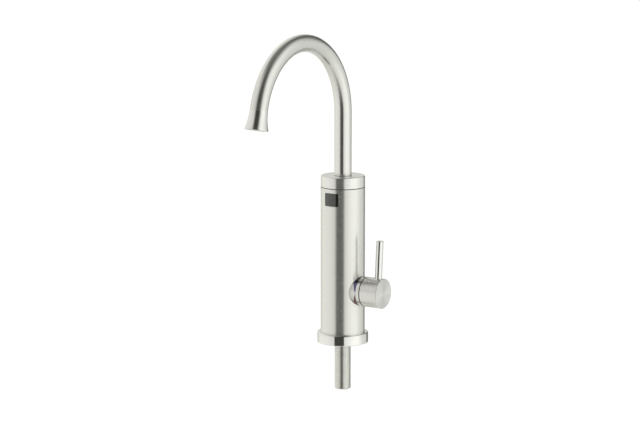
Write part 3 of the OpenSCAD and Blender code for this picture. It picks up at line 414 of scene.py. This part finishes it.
# %% Build the groups of smudges and grain
CLOUD_STARTS, CLOUD_FULL = 0.35, 0.75
DRIFT_SHARE = 0.04
smudge_group, given, result = new_group(
    "smudges", [("Vector", "Vector", None), ("Size", "Float", 60.0)], ["Smudge"]
)
cloud = noise(smudge_group, given["Vector"], given["Size"], detail=3.0, rough=0.6)
smudge = remapped(smudge_group, cloud, 0.0, 1.0, CLOUD_STARTS, CLOUD_FULL)
smudge_group.links.new(smudge, result["Smudge"])

grain_group, given, result = new_group(
    "moulded_grain", [("Vector", "Vector", None), ("Grain", "Float", 2200.0)], ["Height", "Tone"]
)
grain_group.links.new(noise(grain_group, given["Vector"], given["Grain"]), result["Height"])
slow = arithmetic(grain_group, "MULTIPLY", given["Grain"], DRIFT_SHARE)
grain_group.links.new(noise(grain_group, given["Vector"], slow, detail=3.0), result["Tone"])
print("groups:", [tree.name for tree in bpy.data.node_groups])

# %% [markdown]
# ## Where the lines run
# A lathe's axis is the middle of the piece it turned. For a piece of the column that is an
# upright line, and for the valve and the handle it lies along X. Both go through the middle
# of the piece's own box, so they are read from the frame. The spout is different: its lines
# follow the bend, so they use the distance along the tube.

# %% Find each piece's turning axis
UPRIGHT = (0.0, 0.0, 0.0)
ALONG_X = (0.0, math.pi / 2, 0.0)
BEND_RADIUS = 95.4 * MM
BEND_ANGLE = math.radians(167.2)
SIDEWAYS = [
    "valve_collar", "cold_mark", "hot_mark", "handle_knob", "grub_screw", "spindle",
    "spindle_o_ring", "moving_disc", "fixed_disc", "port_seal", "cartridge_case",
    "cartridge_nut", "valve_body",
]
tube_low, tube_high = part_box("spout_tube")
tube_radius = (tube_high.x - tube_low.x) / 2
bend_height = tube_high.z - tube_radius - BEND_RADIUS


def middle(name):
    """The middle of a piece's box."""
    low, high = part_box(name)
    return (low + high) / 2


def turning_axis(name):
    """A point on the axis that a piece was turned about, and the axis's rotation."""
    if name in ("nozzle_shell", "aerator_insert"):
        across = BEND_RADIUS * (math.cos(BEND_ANGLE) - 1)
        up = bend_height + BEND_RADIUS * math.sin(BEND_ANGLE)
        return (0.0, across, up), (BEND_ANGLE, 0.0, 0.0)
    if name in SIDEWAYS:
        return (0.0, 0.0, middle("handle_knob").z), ALONG_X
    return tuple(middle(name)), UPRIGHT


def lathe_place(tree, name):
    """Object coordinates with the turning axis of a piece as their Z."""
    centre, turn = turning_axis(name)
    inputs = {"Vector": object_place(tree), "Location": centre, "Rotation": turn}
    return place(tree, "Mapping", {"vector_type": "TEXTURE"}, inputs).outputs[0]


def tube_place(tree):
    """Coordinates whose Z is the distance along the spout tube."""
    where = split(tree, object_place(tree))
    from_bend = arithmetic(tree, "ADD", where["Y"], BEND_RADIUS)
    above_bend = arithmetic(tree, "SUBTRACT", where["Z"], bend_height)
    turned = arithmetic(tree, "MAXIMUM", arithmetic(tree, "ARCTAN2", above_bend, from_bend), 0.0)
    riser = arithmetic(tree, "MINIMUM", where["Z"], bend_height)
    reach = arithmetic(tree, "ADD", riser, arithmetic(tree, "MULTIPLY", turned, BEND_RADIUS))
    return place(tree, "CombineXYZ", None, {"X": where["X"], "Z": reach}).outputs[0]


print("the bend starts at", round(bend_height / MM, 1), "mm")

# %% [markdown]
# ## Metals
# Brushed stainless steel, polished plate and raw brass differ in three things: their colour,
# how far a reflection is smeared, and how deep and how close their lines are. Each could be
# a material of its own, but one function that takes these as numbers makes them all, and
# keeps them alike where they should be. It needs a few helpers first, which the plastics
# share: an empty surface, links to it, a group's outputs, and colours that shift a little.

# %% Write the helpers of a finish


def new_material(name):
    """A material with an empty Principled surface."""
    material = bpy.data.materials.new(name)
    material.use_nodes = True
    tree = material.node_tree
    tree.nodes.clear()
    surface = place(tree, "BsdfPrincipled")
    place(tree, "OutputMaterial", None, {"Surface": surface.outputs[0]})
    return material, tree, surface


def link(tree, surface, **sockets):
    """Links sockets to the surface's inputs; an underscore stands for a blank."""
    for name, socket in sockets.items():
        tree.links.new(socket, surface.inputs[name.replace("_", " ")])


def from_group(tree, group, **values):
    """A group node's outputs, with its inputs set or linked."""
    node = place(tree, "Group", {"node_tree": group})
    for name, value in values.items():
        if isinstance(value, bpy.types.NodeSocket):
            tree.links.new(value, node.inputs[name])
        else:
            node.inputs[name].default_value = value
    return node.outputs


def shade(colour, factor):
    """A colour made lighter or darker, with its alpha."""
    return (*[channel * factor for channel in colour], 1.0)


def drifting(tree, tone, colour, spread):
    """A colour that drifts by spread to both sides, as a slow tone does."""
    share = remapped(tree, tone, 0.0, 1.0)
    return mixed(tree, share, shade(colour, 1 - spread), shade(colour, 1 + spread))


print("a darker steel:", shade((0.8, 0.8, 0.8), 0.5))

# %% [markdown]
# ## Painted shade where pieces meet
# A turned piece has its edge broken, and that narrow slope mirrors something dark, while the
# gap between two pieces lies in shade, so a narrow dark line shows where they meet. The
# collar is also darker towards the body it stands on, where shade falls and its polish
# mirrors darker things. The slopes could be modelled, but they are narrower than a pixel, so
# this shade and dark reflection are painted into the colour with two masks: one by the
# distance to an end, and one by the distance to the column's wall.

# %% Write the masks of a piece's ends
MASK_EDGE = 0.8


def near_end(tree, axis, place_of_end, reach):
    """A mask that rises to 1 over the last stretch before a piece's end."""
    where = split(tree, object_place(tree))[axis]
    distance = arithmetic(tree, "ABSOLUTE", arithmetic(tree, "SUBTRACT", where, place_of_end))
    return remapped(tree, distance, 1.0, 0.0, MASK_EDGE * reach, reach)


def near_column(tree, radius, reach):
    """A mask that rises to 1 towards the column's upright wall of that radius."""
    where = split(tree, object_place(tree))
    level = place(tree, "CombineXYZ", None, {"X": where["X"], "Y": where["Y"]}).outputs[0]
    distance = place(tree, "VectorMath", {"operation": "LENGTH"}, {0: level}).outputs["Value"]
    return remapped(tree, distance, 1.0, 0.0, radius, radius + reach)


print("an end's mask fades over the last", round(1 - MASK_EDGE, 1), "of its reach")

# %% [markdown]
# ## One function for every metal
# The lines go into a bump, the slower tone shifts the colour, and the smudges only touch
# roughness. Brushing smears a reflection across its lines far more than along them. Lines
# finer than a pixel can't show that by themselves, so the brushed pieces get an anisotropic
# surface, turned by a quarter. Under the sharp reflection lies a broad haze from the deeper
# scratches, which greys the dark stripe: a rough coat of a high index adds it. The spun face
# of the knob is a little rougher than its side.

# %% Write the metal finish
SMUDGE_SHARE = 0.02
QUARTER_TURN = 0.25
HAZE_ROUGHNESS = 0.7
HAZE_IOR = 3.2
END_REACH = 0.4 * MM
PAINTED_EDGE_SHADE = 0.1
ROOT_REACH = 8.0 * MM
PAINTED_ROOT_SHADE = 0.72
FACE_ROUGHER = 0.14


def metal(name, colour, roughness, lines, depth, spread=0.03, tone=0.03, brushed=0.0, haze=0.0,
          end=None, face=None, root=None):
    """A turned, brushed or polished metal for the piece called name."""
    material, tree, surface = new_material(name + "_finish")
    where = tube_place(tree) if name == "spout_tube" else lathe_place(tree, name)
    turned = from_group(tree, lines_group, Vector=where, Lines=lines)
    smudge = from_group(tree, smudge_group, Vector=where)["Smudge"]
    scratched = remapped(tree, turned["Height"], roughness - spread, roughness + spread)
    rough = arithmetic(tree, "ADD", scratched, arithmetic(tree, "MULTIPLY", smudge, SMUDGE_SHARE))
    if face:
        added = arithmetic(tree, "MULTIPLY", near_end(tree, *face, END_REACH), FACE_ROUGHER)
        rough = arithmetic(tree, "ADD", rough, added)
    hue = drifting(tree, turned["Tone"], colour, tone)
    # Painted shade: the collar's colour darkens towards the column's wall.
    if root:
        hue = mixed(tree, near_column(tree, *root), hue, shade(colour, PAINTED_ROOT_SHADE))
    # Painted shade and dark reflection: a narrow dark line at the piece's end, where it meets the
    # next.
    if end:
        hue = mixed(tree, near_end(tree, *end, END_REACH), hue, shade(colour, PAINTED_EDGE_SHADE))
    bump = place(tree, "Bump", None, {"Distance": depth, "Height": turned["Height"]})
    link(tree, surface, Base_Color=hue, Roughness=rough, Normal=bump.outputs[0])
    surface.inputs["Metallic"].default_value = 1.0
    surface.inputs["Coat Weight"].default_value = haze
    surface.inputs["Coat Roughness"].default_value = HAZE_ROUGHNESS
    surface.inputs["Coat IOR"].default_value = HAZE_IOR
    if brushed:
        round_axis = {"direction_type": "RADIAL", "axis": "X" if name in SIDEWAYS else "Z"}
        link(tree, surface, Tangent=place(tree, "Tangent", round_axis).outputs[0])
        surface.inputs["Anisotropic"].default_value = brushed
        surface.inputs["Anisotropic Rotation"].default_value = QUARTER_TURN
    return material


print("haze: roughness", HAZE_ROUGHNESS, "and index", HAZE_IOR)

# %% [markdown]
# ## The metals of this tap
# Body, cap and spout are stainless steel, brushed while they turned. The foot, the collar,
# the lever and the nozzle are polished, the knob is spun, and the shank is turned and left
# so. Inside are brass fittings and a wire spring. They differ only in numbers, so a table
# holds them, by slot, and a piece that departs from its slot has a row by its own name.

# %% Choose the metals
LOW_CORNER, HIGH_CORNER = 0, 1
STEEL = (0.84, 0.84, 0.80)
BRIGHT = (0.87, 0.87, 0.85)
BRASS = (0.72, 0.56, 0.28)
BRUSHED = dict(
    colour=STEEL, roughness=0.24, lines=12000.0, depth=5e-7, tone=0.01, brushed=0.5, haze=1.0
)
POLISHED = dict(colour=BRIGHT, roughness=0.05, spread=0.01, lines=1500.0, depth=1e-7)


def end_of(name, axis, corner):
    """The axis and the place of a piece's end, at the low or the high corner of its box."""
    return axis, getattr(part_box(name)[corner], axis.lower())


METALS = {
    "brushed_body": BRUSHED,
    # An end entry paints a dark line of shade at a joint; a root entry paints shade near the
    # column.
    "body_shell": dict(BRUSHED, end=end_of("body_shell", "Z", HIGH_CORNER)),
    "top_cap": dict(
        BRUSHED, colour=(0.90, 0.90, 0.87), roughness=0.2,
        end=end_of("top_cap", "Z", LOW_CORNER),
    ),
    "brushed_spout": dict(
        colour=(0.83, 0.83, 0.80), roughness=0.2, lines=9000.0, depth=5e-7, tone=0.01, haze=0.3,
        end=end_of("top_cap", "Z", HIGH_CORNER),
    ),
    "polished_steel": POLISHED,
    "valve_collar": dict(
        POLISHED, colour=(0.77, 0.77, 0.75), end=end_of("valve_collar", "X", HIGH_CORNER),
        root=(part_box("body_shell")[HIGH_CORNER].x, ROOT_REACH),
    ),
    "spun_knob": dict(
        colour=(0.95, 0.95, 0.92), roughness=0.26, lines=9000.0, depth=5e-7, tone=0.01,
        brushed=1.0, haze=0.3,
        end=end_of("handle_knob", "X", LOW_CORNER),
        face=end_of("handle_knob", "X", HIGH_CORNER),
    ),
    "shank_steel": dict(
        colour=(0.86, 0.86, 0.83), roughness=0.22, lines=3000.0, depth=1e-6, haze=0.5
    ),
    "brass": dict(colour=BRASS, roughness=0.24, spread=0.06, lines=2200.0, depth=3e-6, tone=0.1),
    "spring_steel": dict(colour=(0.50, 0.50, 0.50), roughness=0.32, lines=4000.0, depth=1e-6),
}
print("metals:", list(METALS))

# %% [markdown]
# ## Plastics, rubber and ceramic
# The inner pieces are moulded or pressed. Their look is a quiet base colour with a mould's
# grain, a slow drift of tone from the way the melt cooled, and a roughness that tells
# gloss from matt. Rubber is the darkest and dullest, fired ceramic the palest and smoothest.
# A flat colour would do from afar, but these pieces show when the casing is off, so one
# function gives each of them a skin, and its numbers say which material it is.

# %% Write the moulded finish
SKIN_SPREAD = 0.05


def moulded(name, colour, roughness, grain, depth, tone=0.06):
    """A moulded, pressed or fired finish."""
    material, tree, surface = new_material(name + "_finish")
    skin = from_group(tree, grain_group, Vector=object_place(tree), Grain=grain)
    hue = drifting(tree, skin["Tone"], colour, tone)
    rough = remapped(tree, skin["Height"], roughness - SKIN_SPREAD, roughness + SKIN_SPREAD)
    bump = place(tree, "Bump", None, {"Distance": depth, "Height": skin["Height"]})
    link(tree, surface, Base_Color=hue, Roughness=rough, Normal=bump.outputs[0])
    return material


RUBBER = (0.035, 0.035, 0.035)
MOULDED = {
    "rubber": dict(colour=RUBBER, roughness=0.65, grain=2600.0, depth=8e-6, tone=0.15),
    "white_resin": dict(colour=(0.80, 0.79, 0.74), roughness=0.42, grain=1800.0, depth=6e-6),
    "black_resin": dict(
        colour=(0.05, 0.05, 0.053), roughness=0.45, grain=2400.0, depth=1e-5, tone=0.12
    ),
    "ceramic": dict(
        colour=(0.86, 0.84, 0.78), roughness=0.22, grain=3500.0, depth=2e-6, tone=0.03
    ),
    "button_red": dict(colour=(0.50, 0.05, 0.04), roughness=0.30, grain=2000.0, depth=4e-6),
}
print("moulded:", list(MOULDED))

# %% [markdown]
# ## Enamel inlays
# The collar carries two inlays of enamel, blue above for cold and red below for hot. Both
# are painted darker towards their wide ends: on the blue this is a painted reflection of the
# dark room above, and on the red it is only a darker colour. Their colours could be painted
# on an image, but a mask along the height, between two shades, needs no unwrapping and
# stays sharp close up. A clear coat gives the fired gloss.

# %% Write the enamel of the inlays
INLAY = 15.0 * MM
DARK_STARTS, DARK_FULL = 0.86, 0.94
ENAMEL_GRAIN = 900.0
ENAMEL_ROUGHNESS = (0.08, 0.16)
# The dark blue is a painted dark reflection; the darker red only darkens the red's lower end.
BLUE, REFLECTED_DARK_BLUE = (0.06, 0.054, 0.15), (0.005, 0.005, 0.008)
RED, DARKER_RED = (0.125, 0.055, 0.046), (0.06, 0.016, 0.013)
handle_height = middle("handle_knob").z


def rising(tree, axis, start, stop):
    """A mask from 0 at start to 1 at stop along one axis of the object's coordinates."""
    where = split(tree, object_place(tree))[axis]
    inputs = {"Value": where, "From Min": start, "From Max": stop}
    return place(tree, "MapRange", None, inputs).outputs[0]


def coated(surface, weight, roughness):
    """Lays a clear coat over a surface."""
    surface.inputs["Coat Weight"].default_value = weight
    surface.inputs["Coat Roughness"].default_value = roughness


def enamel(name, base_hue, dark_end_hue, reach):
    """Gloss enamel that darkens from the handle's height towards reach."""
    material, tree, surface = new_material(name + "_finish")
    start, stop = handle_height + DARK_STARTS * reach, handle_height + DARK_FULL * reach
    skin = from_group(tree, grain_group, Vector=object_place(tree), Grain=ENAMEL_GRAIN)
    # Painted darkening towards the wide end; on the blue inlay it stands in for a dark reflection.
    hue = mixed(tree, rising(tree, "Z", start, stop), shade(base_hue, 1), shade(dark_end_hue, 1))
    rough = remapped(tree, skin["Tone"], *ENAMEL_ROUGHNESS)
    link(tree, surface, Base_Color=hue, Roughness=rough)
    coated(surface, weight=0.6, roughness=0.04)
    return material


print("the inlays end", round(INLAY / MM, 1), "mm from the handle's axis")

# %% [markdown]
# ## Smoked lens
# The display hides behind smoked plastic that is printed black round its rim. Clear plastic
# over a dark hollow could show it, but with the digits off nothing shines through, so a
# nearly black surface in two shades is enough, under a hard coat of a high index that
# mirrors the room. The rim is found from the sides of the lens's own box.

# %% Write the lens
RIM_STARTS, RIM_ENDS = 2.56 * MM, 3.04 * MM
RIM_BLACK = (0.004, 0.004, 0.004, 1)
SMOKE = (0.007, 0.008, 0.006, 1)
SMOKE_GRAIN = 400.0
SMOKE_ROUGHNESS = (0.12, 0.2)
LENS_IOR = 1.8
SMOKE_SPECULAR = 0.3
lens_low, lens_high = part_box("display_lens")


def smoked_lens(name):
    """Smoked plastic with a printed black rim."""
    material, tree, surface = new_material(name + "_finish")
    inside = 1.0
    for axis, low, high in (("X", lens_low.x, lens_high.x), ("Z", lens_low.z, lens_high.z)):
        opened = rising(tree, axis, low + RIM_STARTS, low + RIM_ENDS)
        closed = rising(tree, axis, high - RIM_STARTS, high - RIM_ENDS)
        both = arithmetic(tree, "MULTIPLY", opened, closed)
        inside = arithmetic(tree, "MULTIPLY", both, inside)
    skin = from_group(tree, grain_group, Vector=object_place(tree), Grain=SMOKE_GRAIN)
    hue = mixed(tree, inside, RIM_BLACK, SMOKE)
    rough = remapped(tree, skin["Tone"], *SMOKE_ROUGHNESS)
    link(tree, surface, Base_Color=hue, Roughness=rough)
    coated(surface, weight=1.0, roughness=0.03)
    surface.inputs["Coat IOR"].default_value = LENS_IOR
    surface.inputs["Specular IOR Level"].default_value = SMOKE_SPECULAR
    return material


print("lens in mm:", [round(side / MM, 1) for side in lens_high - lens_low])

# %% [markdown]
# ## Circuit boards
# The two boards inside have copper tracks under a green mask. Tracks of real copper would
# be many faces that hardly show, so a brick pattern draws their stepped lines, in a lighter
# green and as a slight rise.

# %% Write the circuit board
BLACK, WHITE = (0, 0, 0, 1), (1, 1, 1, 1)
MASK_GREEN = (0.015, 0.13, 0.05, 1)
TRACK_GREEN = (0.05, 0.26, 0.08, 1)
TRACK_SCALE = 220.0
TRACK_HEIGHT = 2e-5
BOARD_GRAIN = 1500.0
BOARD_ROUGHNESS = (0.25, 0.4)


def circuit_board(name):
    """Green solder mask over copper tracks, which run in steps across the board."""
    material, tree, surface = new_material(name + "_finish")
    where = object_place(tree)
    pattern = {"Vector": where, "Scale": TRACK_SCALE, "Mortar Size": 0.02, "Mortar Smooth": 0.1}
    colours = {"Color1": BLACK, "Color2": BLACK, "Mortar": WHITE}
    tracks = place(tree, "TexBrick", None, {**pattern, **colours}).outputs["Color"]
    skin = from_group(tree, grain_group, Vector=where, Grain=BOARD_GRAIN)
    hue = mixed(tree, tracks, MASK_GREEN, TRACK_GREEN)
    rough = remapped(tree, skin["Tone"], *BOARD_ROUGHNESS)
    bump = place(tree, "Bump", None, {"Distance": TRACK_HEIGHT, "Height": tracks})
    link(tree, surface, Base_Color=hue, Roughness=rough, Normal=bump.outputs[0])
    return material


print("tracks to the metre:", TRACK_SCALE)

# %% [markdown]
# ## Finish every piece
# The record says which slot each piece takes its finish from. A loop walks through the
# pieces, makes the slot's finish with that piece's own axis, and puts it on. A material
# for each piece costs little and keeps every line pattern centred on what was turned.

# %% Put a finish on each piece
slot_of = {row["node"]: row["material_slot"] for row in record["subparts"]}


def finish_for(name, slot):
    """The material of one piece, made from its slot."""
    if slot in METALS:
        return metal(name, **METALS.get(name, METALS[slot]))
    if slot in MOULDED:
        return moulded(name, **MOULDED[slot])
    if slot == "cold_enamel":
        return enamel(name, BLUE, REFLECTED_DARK_BLUE, INLAY)
    if slot == "hot_enamel":
        return enamel(name, RED, DARKER_RED, -INLAY)
    if slot == "smoked_lens":
        return smoked_lens(name)
    return circuit_board(name)


for name, piece in nodes.items():
    piece.data.materials.clear()
    piece.data.materials.append(finish_for(name, slot_of[name]))
print("finishes:", len(bpy.data.materials))

# %% [markdown]
# ## The threaded shank
# Below the foot the tap ends in a half inch pipe thread, 14 turns to the inch, which takes
# the fixing nut and the supply hose. The construction has it as a plain rod of the crest
# diameter. A texture could fake the ridges, but their edge shows against the floor, so the
# thread is real: one tooth's outline is spun round the axis while it climbs a pitch each
# turn. The part inside the foot is kept from the construction's own mesh.

# %% Cut the pipe thread
PITCH = 25.4 * MM / 14
CREST_DIAMETER = 20.955 * MM
TOOTH_DEPTH = 1.162 * MM
TURN_STEPS = 64
RUN_OUT = 1.0 * MM
SHANK_BORE = 7.5 * MM
END_CHAMFER = 1.0 * MM
MERGE = 0.02 * MM
DOUBLES = 0.001 * MM
NECK_STEP = 0.3 * MM
TOOTH = [(0.0, 0.0), (0.083, 0.0), (0.4165, 1.0), (0.5835, 1.0), (0.917, 0.0), (1.0, 0.0)]
shank_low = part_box("shank")[0].z
crest = CREST_DIAMETER / 2
neck = crest - NECK_STEP


def edge_ring(mesh, height, least, most):
    """The open edges at a height whose distance from the axis is from least to most."""
    found = []
    for edge in mesh.edges:
        ends = [vertex.co for vertex in edge.verts]
        level = all(abs(point.z - height) < MERGE for point in ends)
        if edge.is_boundary and level and all(least < point.xy.length < most for point in ends):
            found.append(edge)
    return found


def cut_beyond(mesh, geometry, height, way):
    """Cuts off what lies above a height (way 1) or below it (way -1)."""
    bmesh.ops.bisect_plane(
        mesh, geom=geometry, plane_co=(0, 0, height), plane_no=(0, 0, way), clear_outer=True
    )


def threaded_wall(mesh, low, high):
    """Adds the thread between two heights, as an open wall."""
    before = set(mesh.verts)
    start = low - PITCH
    tooth = [
        mesh.verts.new((crest - TOOTH_DEPTH * (1 - out), 0.0, start + up * PITCH))
        for up, out in TOOTH
    ]
    tooth_edges = [mesh.edges.new(pair) for pair in zip(tooth, tooth[1:])]
    turns = math.ceil((high - start) / PITCH) + 1
    bmesh.ops.spin(
        mesh, geom=tooth + tooth_edges, cent=(0, 0, 0), axis=(0, 0, 1),
        dvec=(0, 0, PITCH / TURN_STEPS), angle=2 * math.pi * turns, steps=turns * TURN_STEPS,
        use_merge=False, use_duplicate=False,
    )
    wall = [vertex for vertex in mesh.verts if vertex not in before]
    bmesh.ops.remove_doubles(mesh, verts=wall, dist=MERGE)
    for height, way in ((low, -1.0), (high, 1.0)):
        wall = {vertex for vertex in mesh.verts if vertex not in before}
        edges = [edge for edge in mesh.edges if edge.verts[0] in wall]
        faces = [face for face in mesh.faces if face.verts[0] in wall]
        cut_beyond(mesh, [*wall, *edges, *faces], height, way)
    for vertex in mesh.verts:
        if vertex not in before:
            limit = min(crest, crest - END_CHAMFER + vertex.co.z - low)
            limit = neck if vertex.co.z > -NECK_STEP else limit
            shrink = min(1.0, limit / vertex.co.xy.length)
            vertex.co.x *= shrink
            vertex.co.y *= shrink


def shank_mesh():
    """The shank with its thread, as one closed mesh."""
    mesh = bmesh.new()
    mesh.from_mesh(nodes["shank"].data)
    bmesh.ops.remove_doubles(mesh, verts=mesh.verts, dist=DOUBLES)
    cut_beyond(mesh, [*mesh.verts, *mesh.edges, *mesh.faces], RUN_OUT, -1.0)
    bore_edges = edge_ring(mesh, RUN_OUT, 0.0, SHANK_BORE + MM)
    grown = bmesh.ops.extrude_edge_only(mesh, edges=bore_edges)["geom"]
    bore_low = [item for item in grown if isinstance(item, bmesh.types.BMVert)]
    bmesh.ops.translate(mesh, verts=bore_low, vec=(0, 0, shank_low - RUN_OUT))
    threaded_wall(mesh, shank_low, RUN_OUT)
    bmesh.ops.bridge_loops(mesh, edges=edge_ring(mesh, RUN_OUT, SHANK_BORE + MM, crest + MM))
    return mesh


print("turns of thread:", round((RUN_OUT - shank_low) / PITCH, 1))

# %% Close the shank and put it in place
SHARP = math.radians(34)


def finished(mesh, name):
    """Turns a bmesh into an object with outward faces, smooth but for its creases."""
    bmesh.ops.recalc_face_normals(mesh, faces=mesh.faces)
    for face in mesh.faces:
        face.smooth = True
    for edge in mesh.edges:
        edge.smooth = edge.calc_face_angle(0.0) < SHARP
    data = bpy.data.meshes.new(name)
    mesh.to_mesh(data)
    mesh.free()
    piece = bpy.data.objects.new(name, data)
    scene.collection.objects.link(piece)
    return piece


threaded_shank = shank_mesh()
open_edges = [edge for edge in threaded_shank.edges if edge.is_boundary]
print("open edges before the end face:", len(open_edges))
bmesh.ops.bridge_loops(threaded_shank, edges=edge_ring(threaded_shank, shank_low, 0.0, crest + MM))
print("open edges after it:", sum(edge.is_boundary for edge in threaded_shank.edges))
shank_piece = finished(threaded_shank, "threaded_shank")
shank_piece.data.materials.append(nodes["shank"].data.materials[0])
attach(shank_piece, "column")
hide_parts("shank")
print("faces on the shank:", len(shank_piece.data.polygons))

# %% [markdown]
# ## The return spring
# Under the flow switch's cover a small spring pushes the plunger back. When water lifts the
# plunger by its millimetre and a half, the spring shortens against the cover. Left rigid, it
# would cut through the plunger. Here the spring is only copied, merged and hung on the
# column, so it stays rigid.

# %% Copy the spring onto the column
spring_mesh = bmesh.new()
spring_mesh.from_mesh(nodes["plunger_spring"].data)
bmesh.ops.remove_doubles(spring_mesh, verts=spring_mesh.verts, dist=DOUBLES)
spring = finished(spring_mesh, "return_spring")
spring.data.materials.append(nodes["plunger_spring"].data.materials[0])
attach(spring, "column")
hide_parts("plunger_spring")
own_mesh(spring)
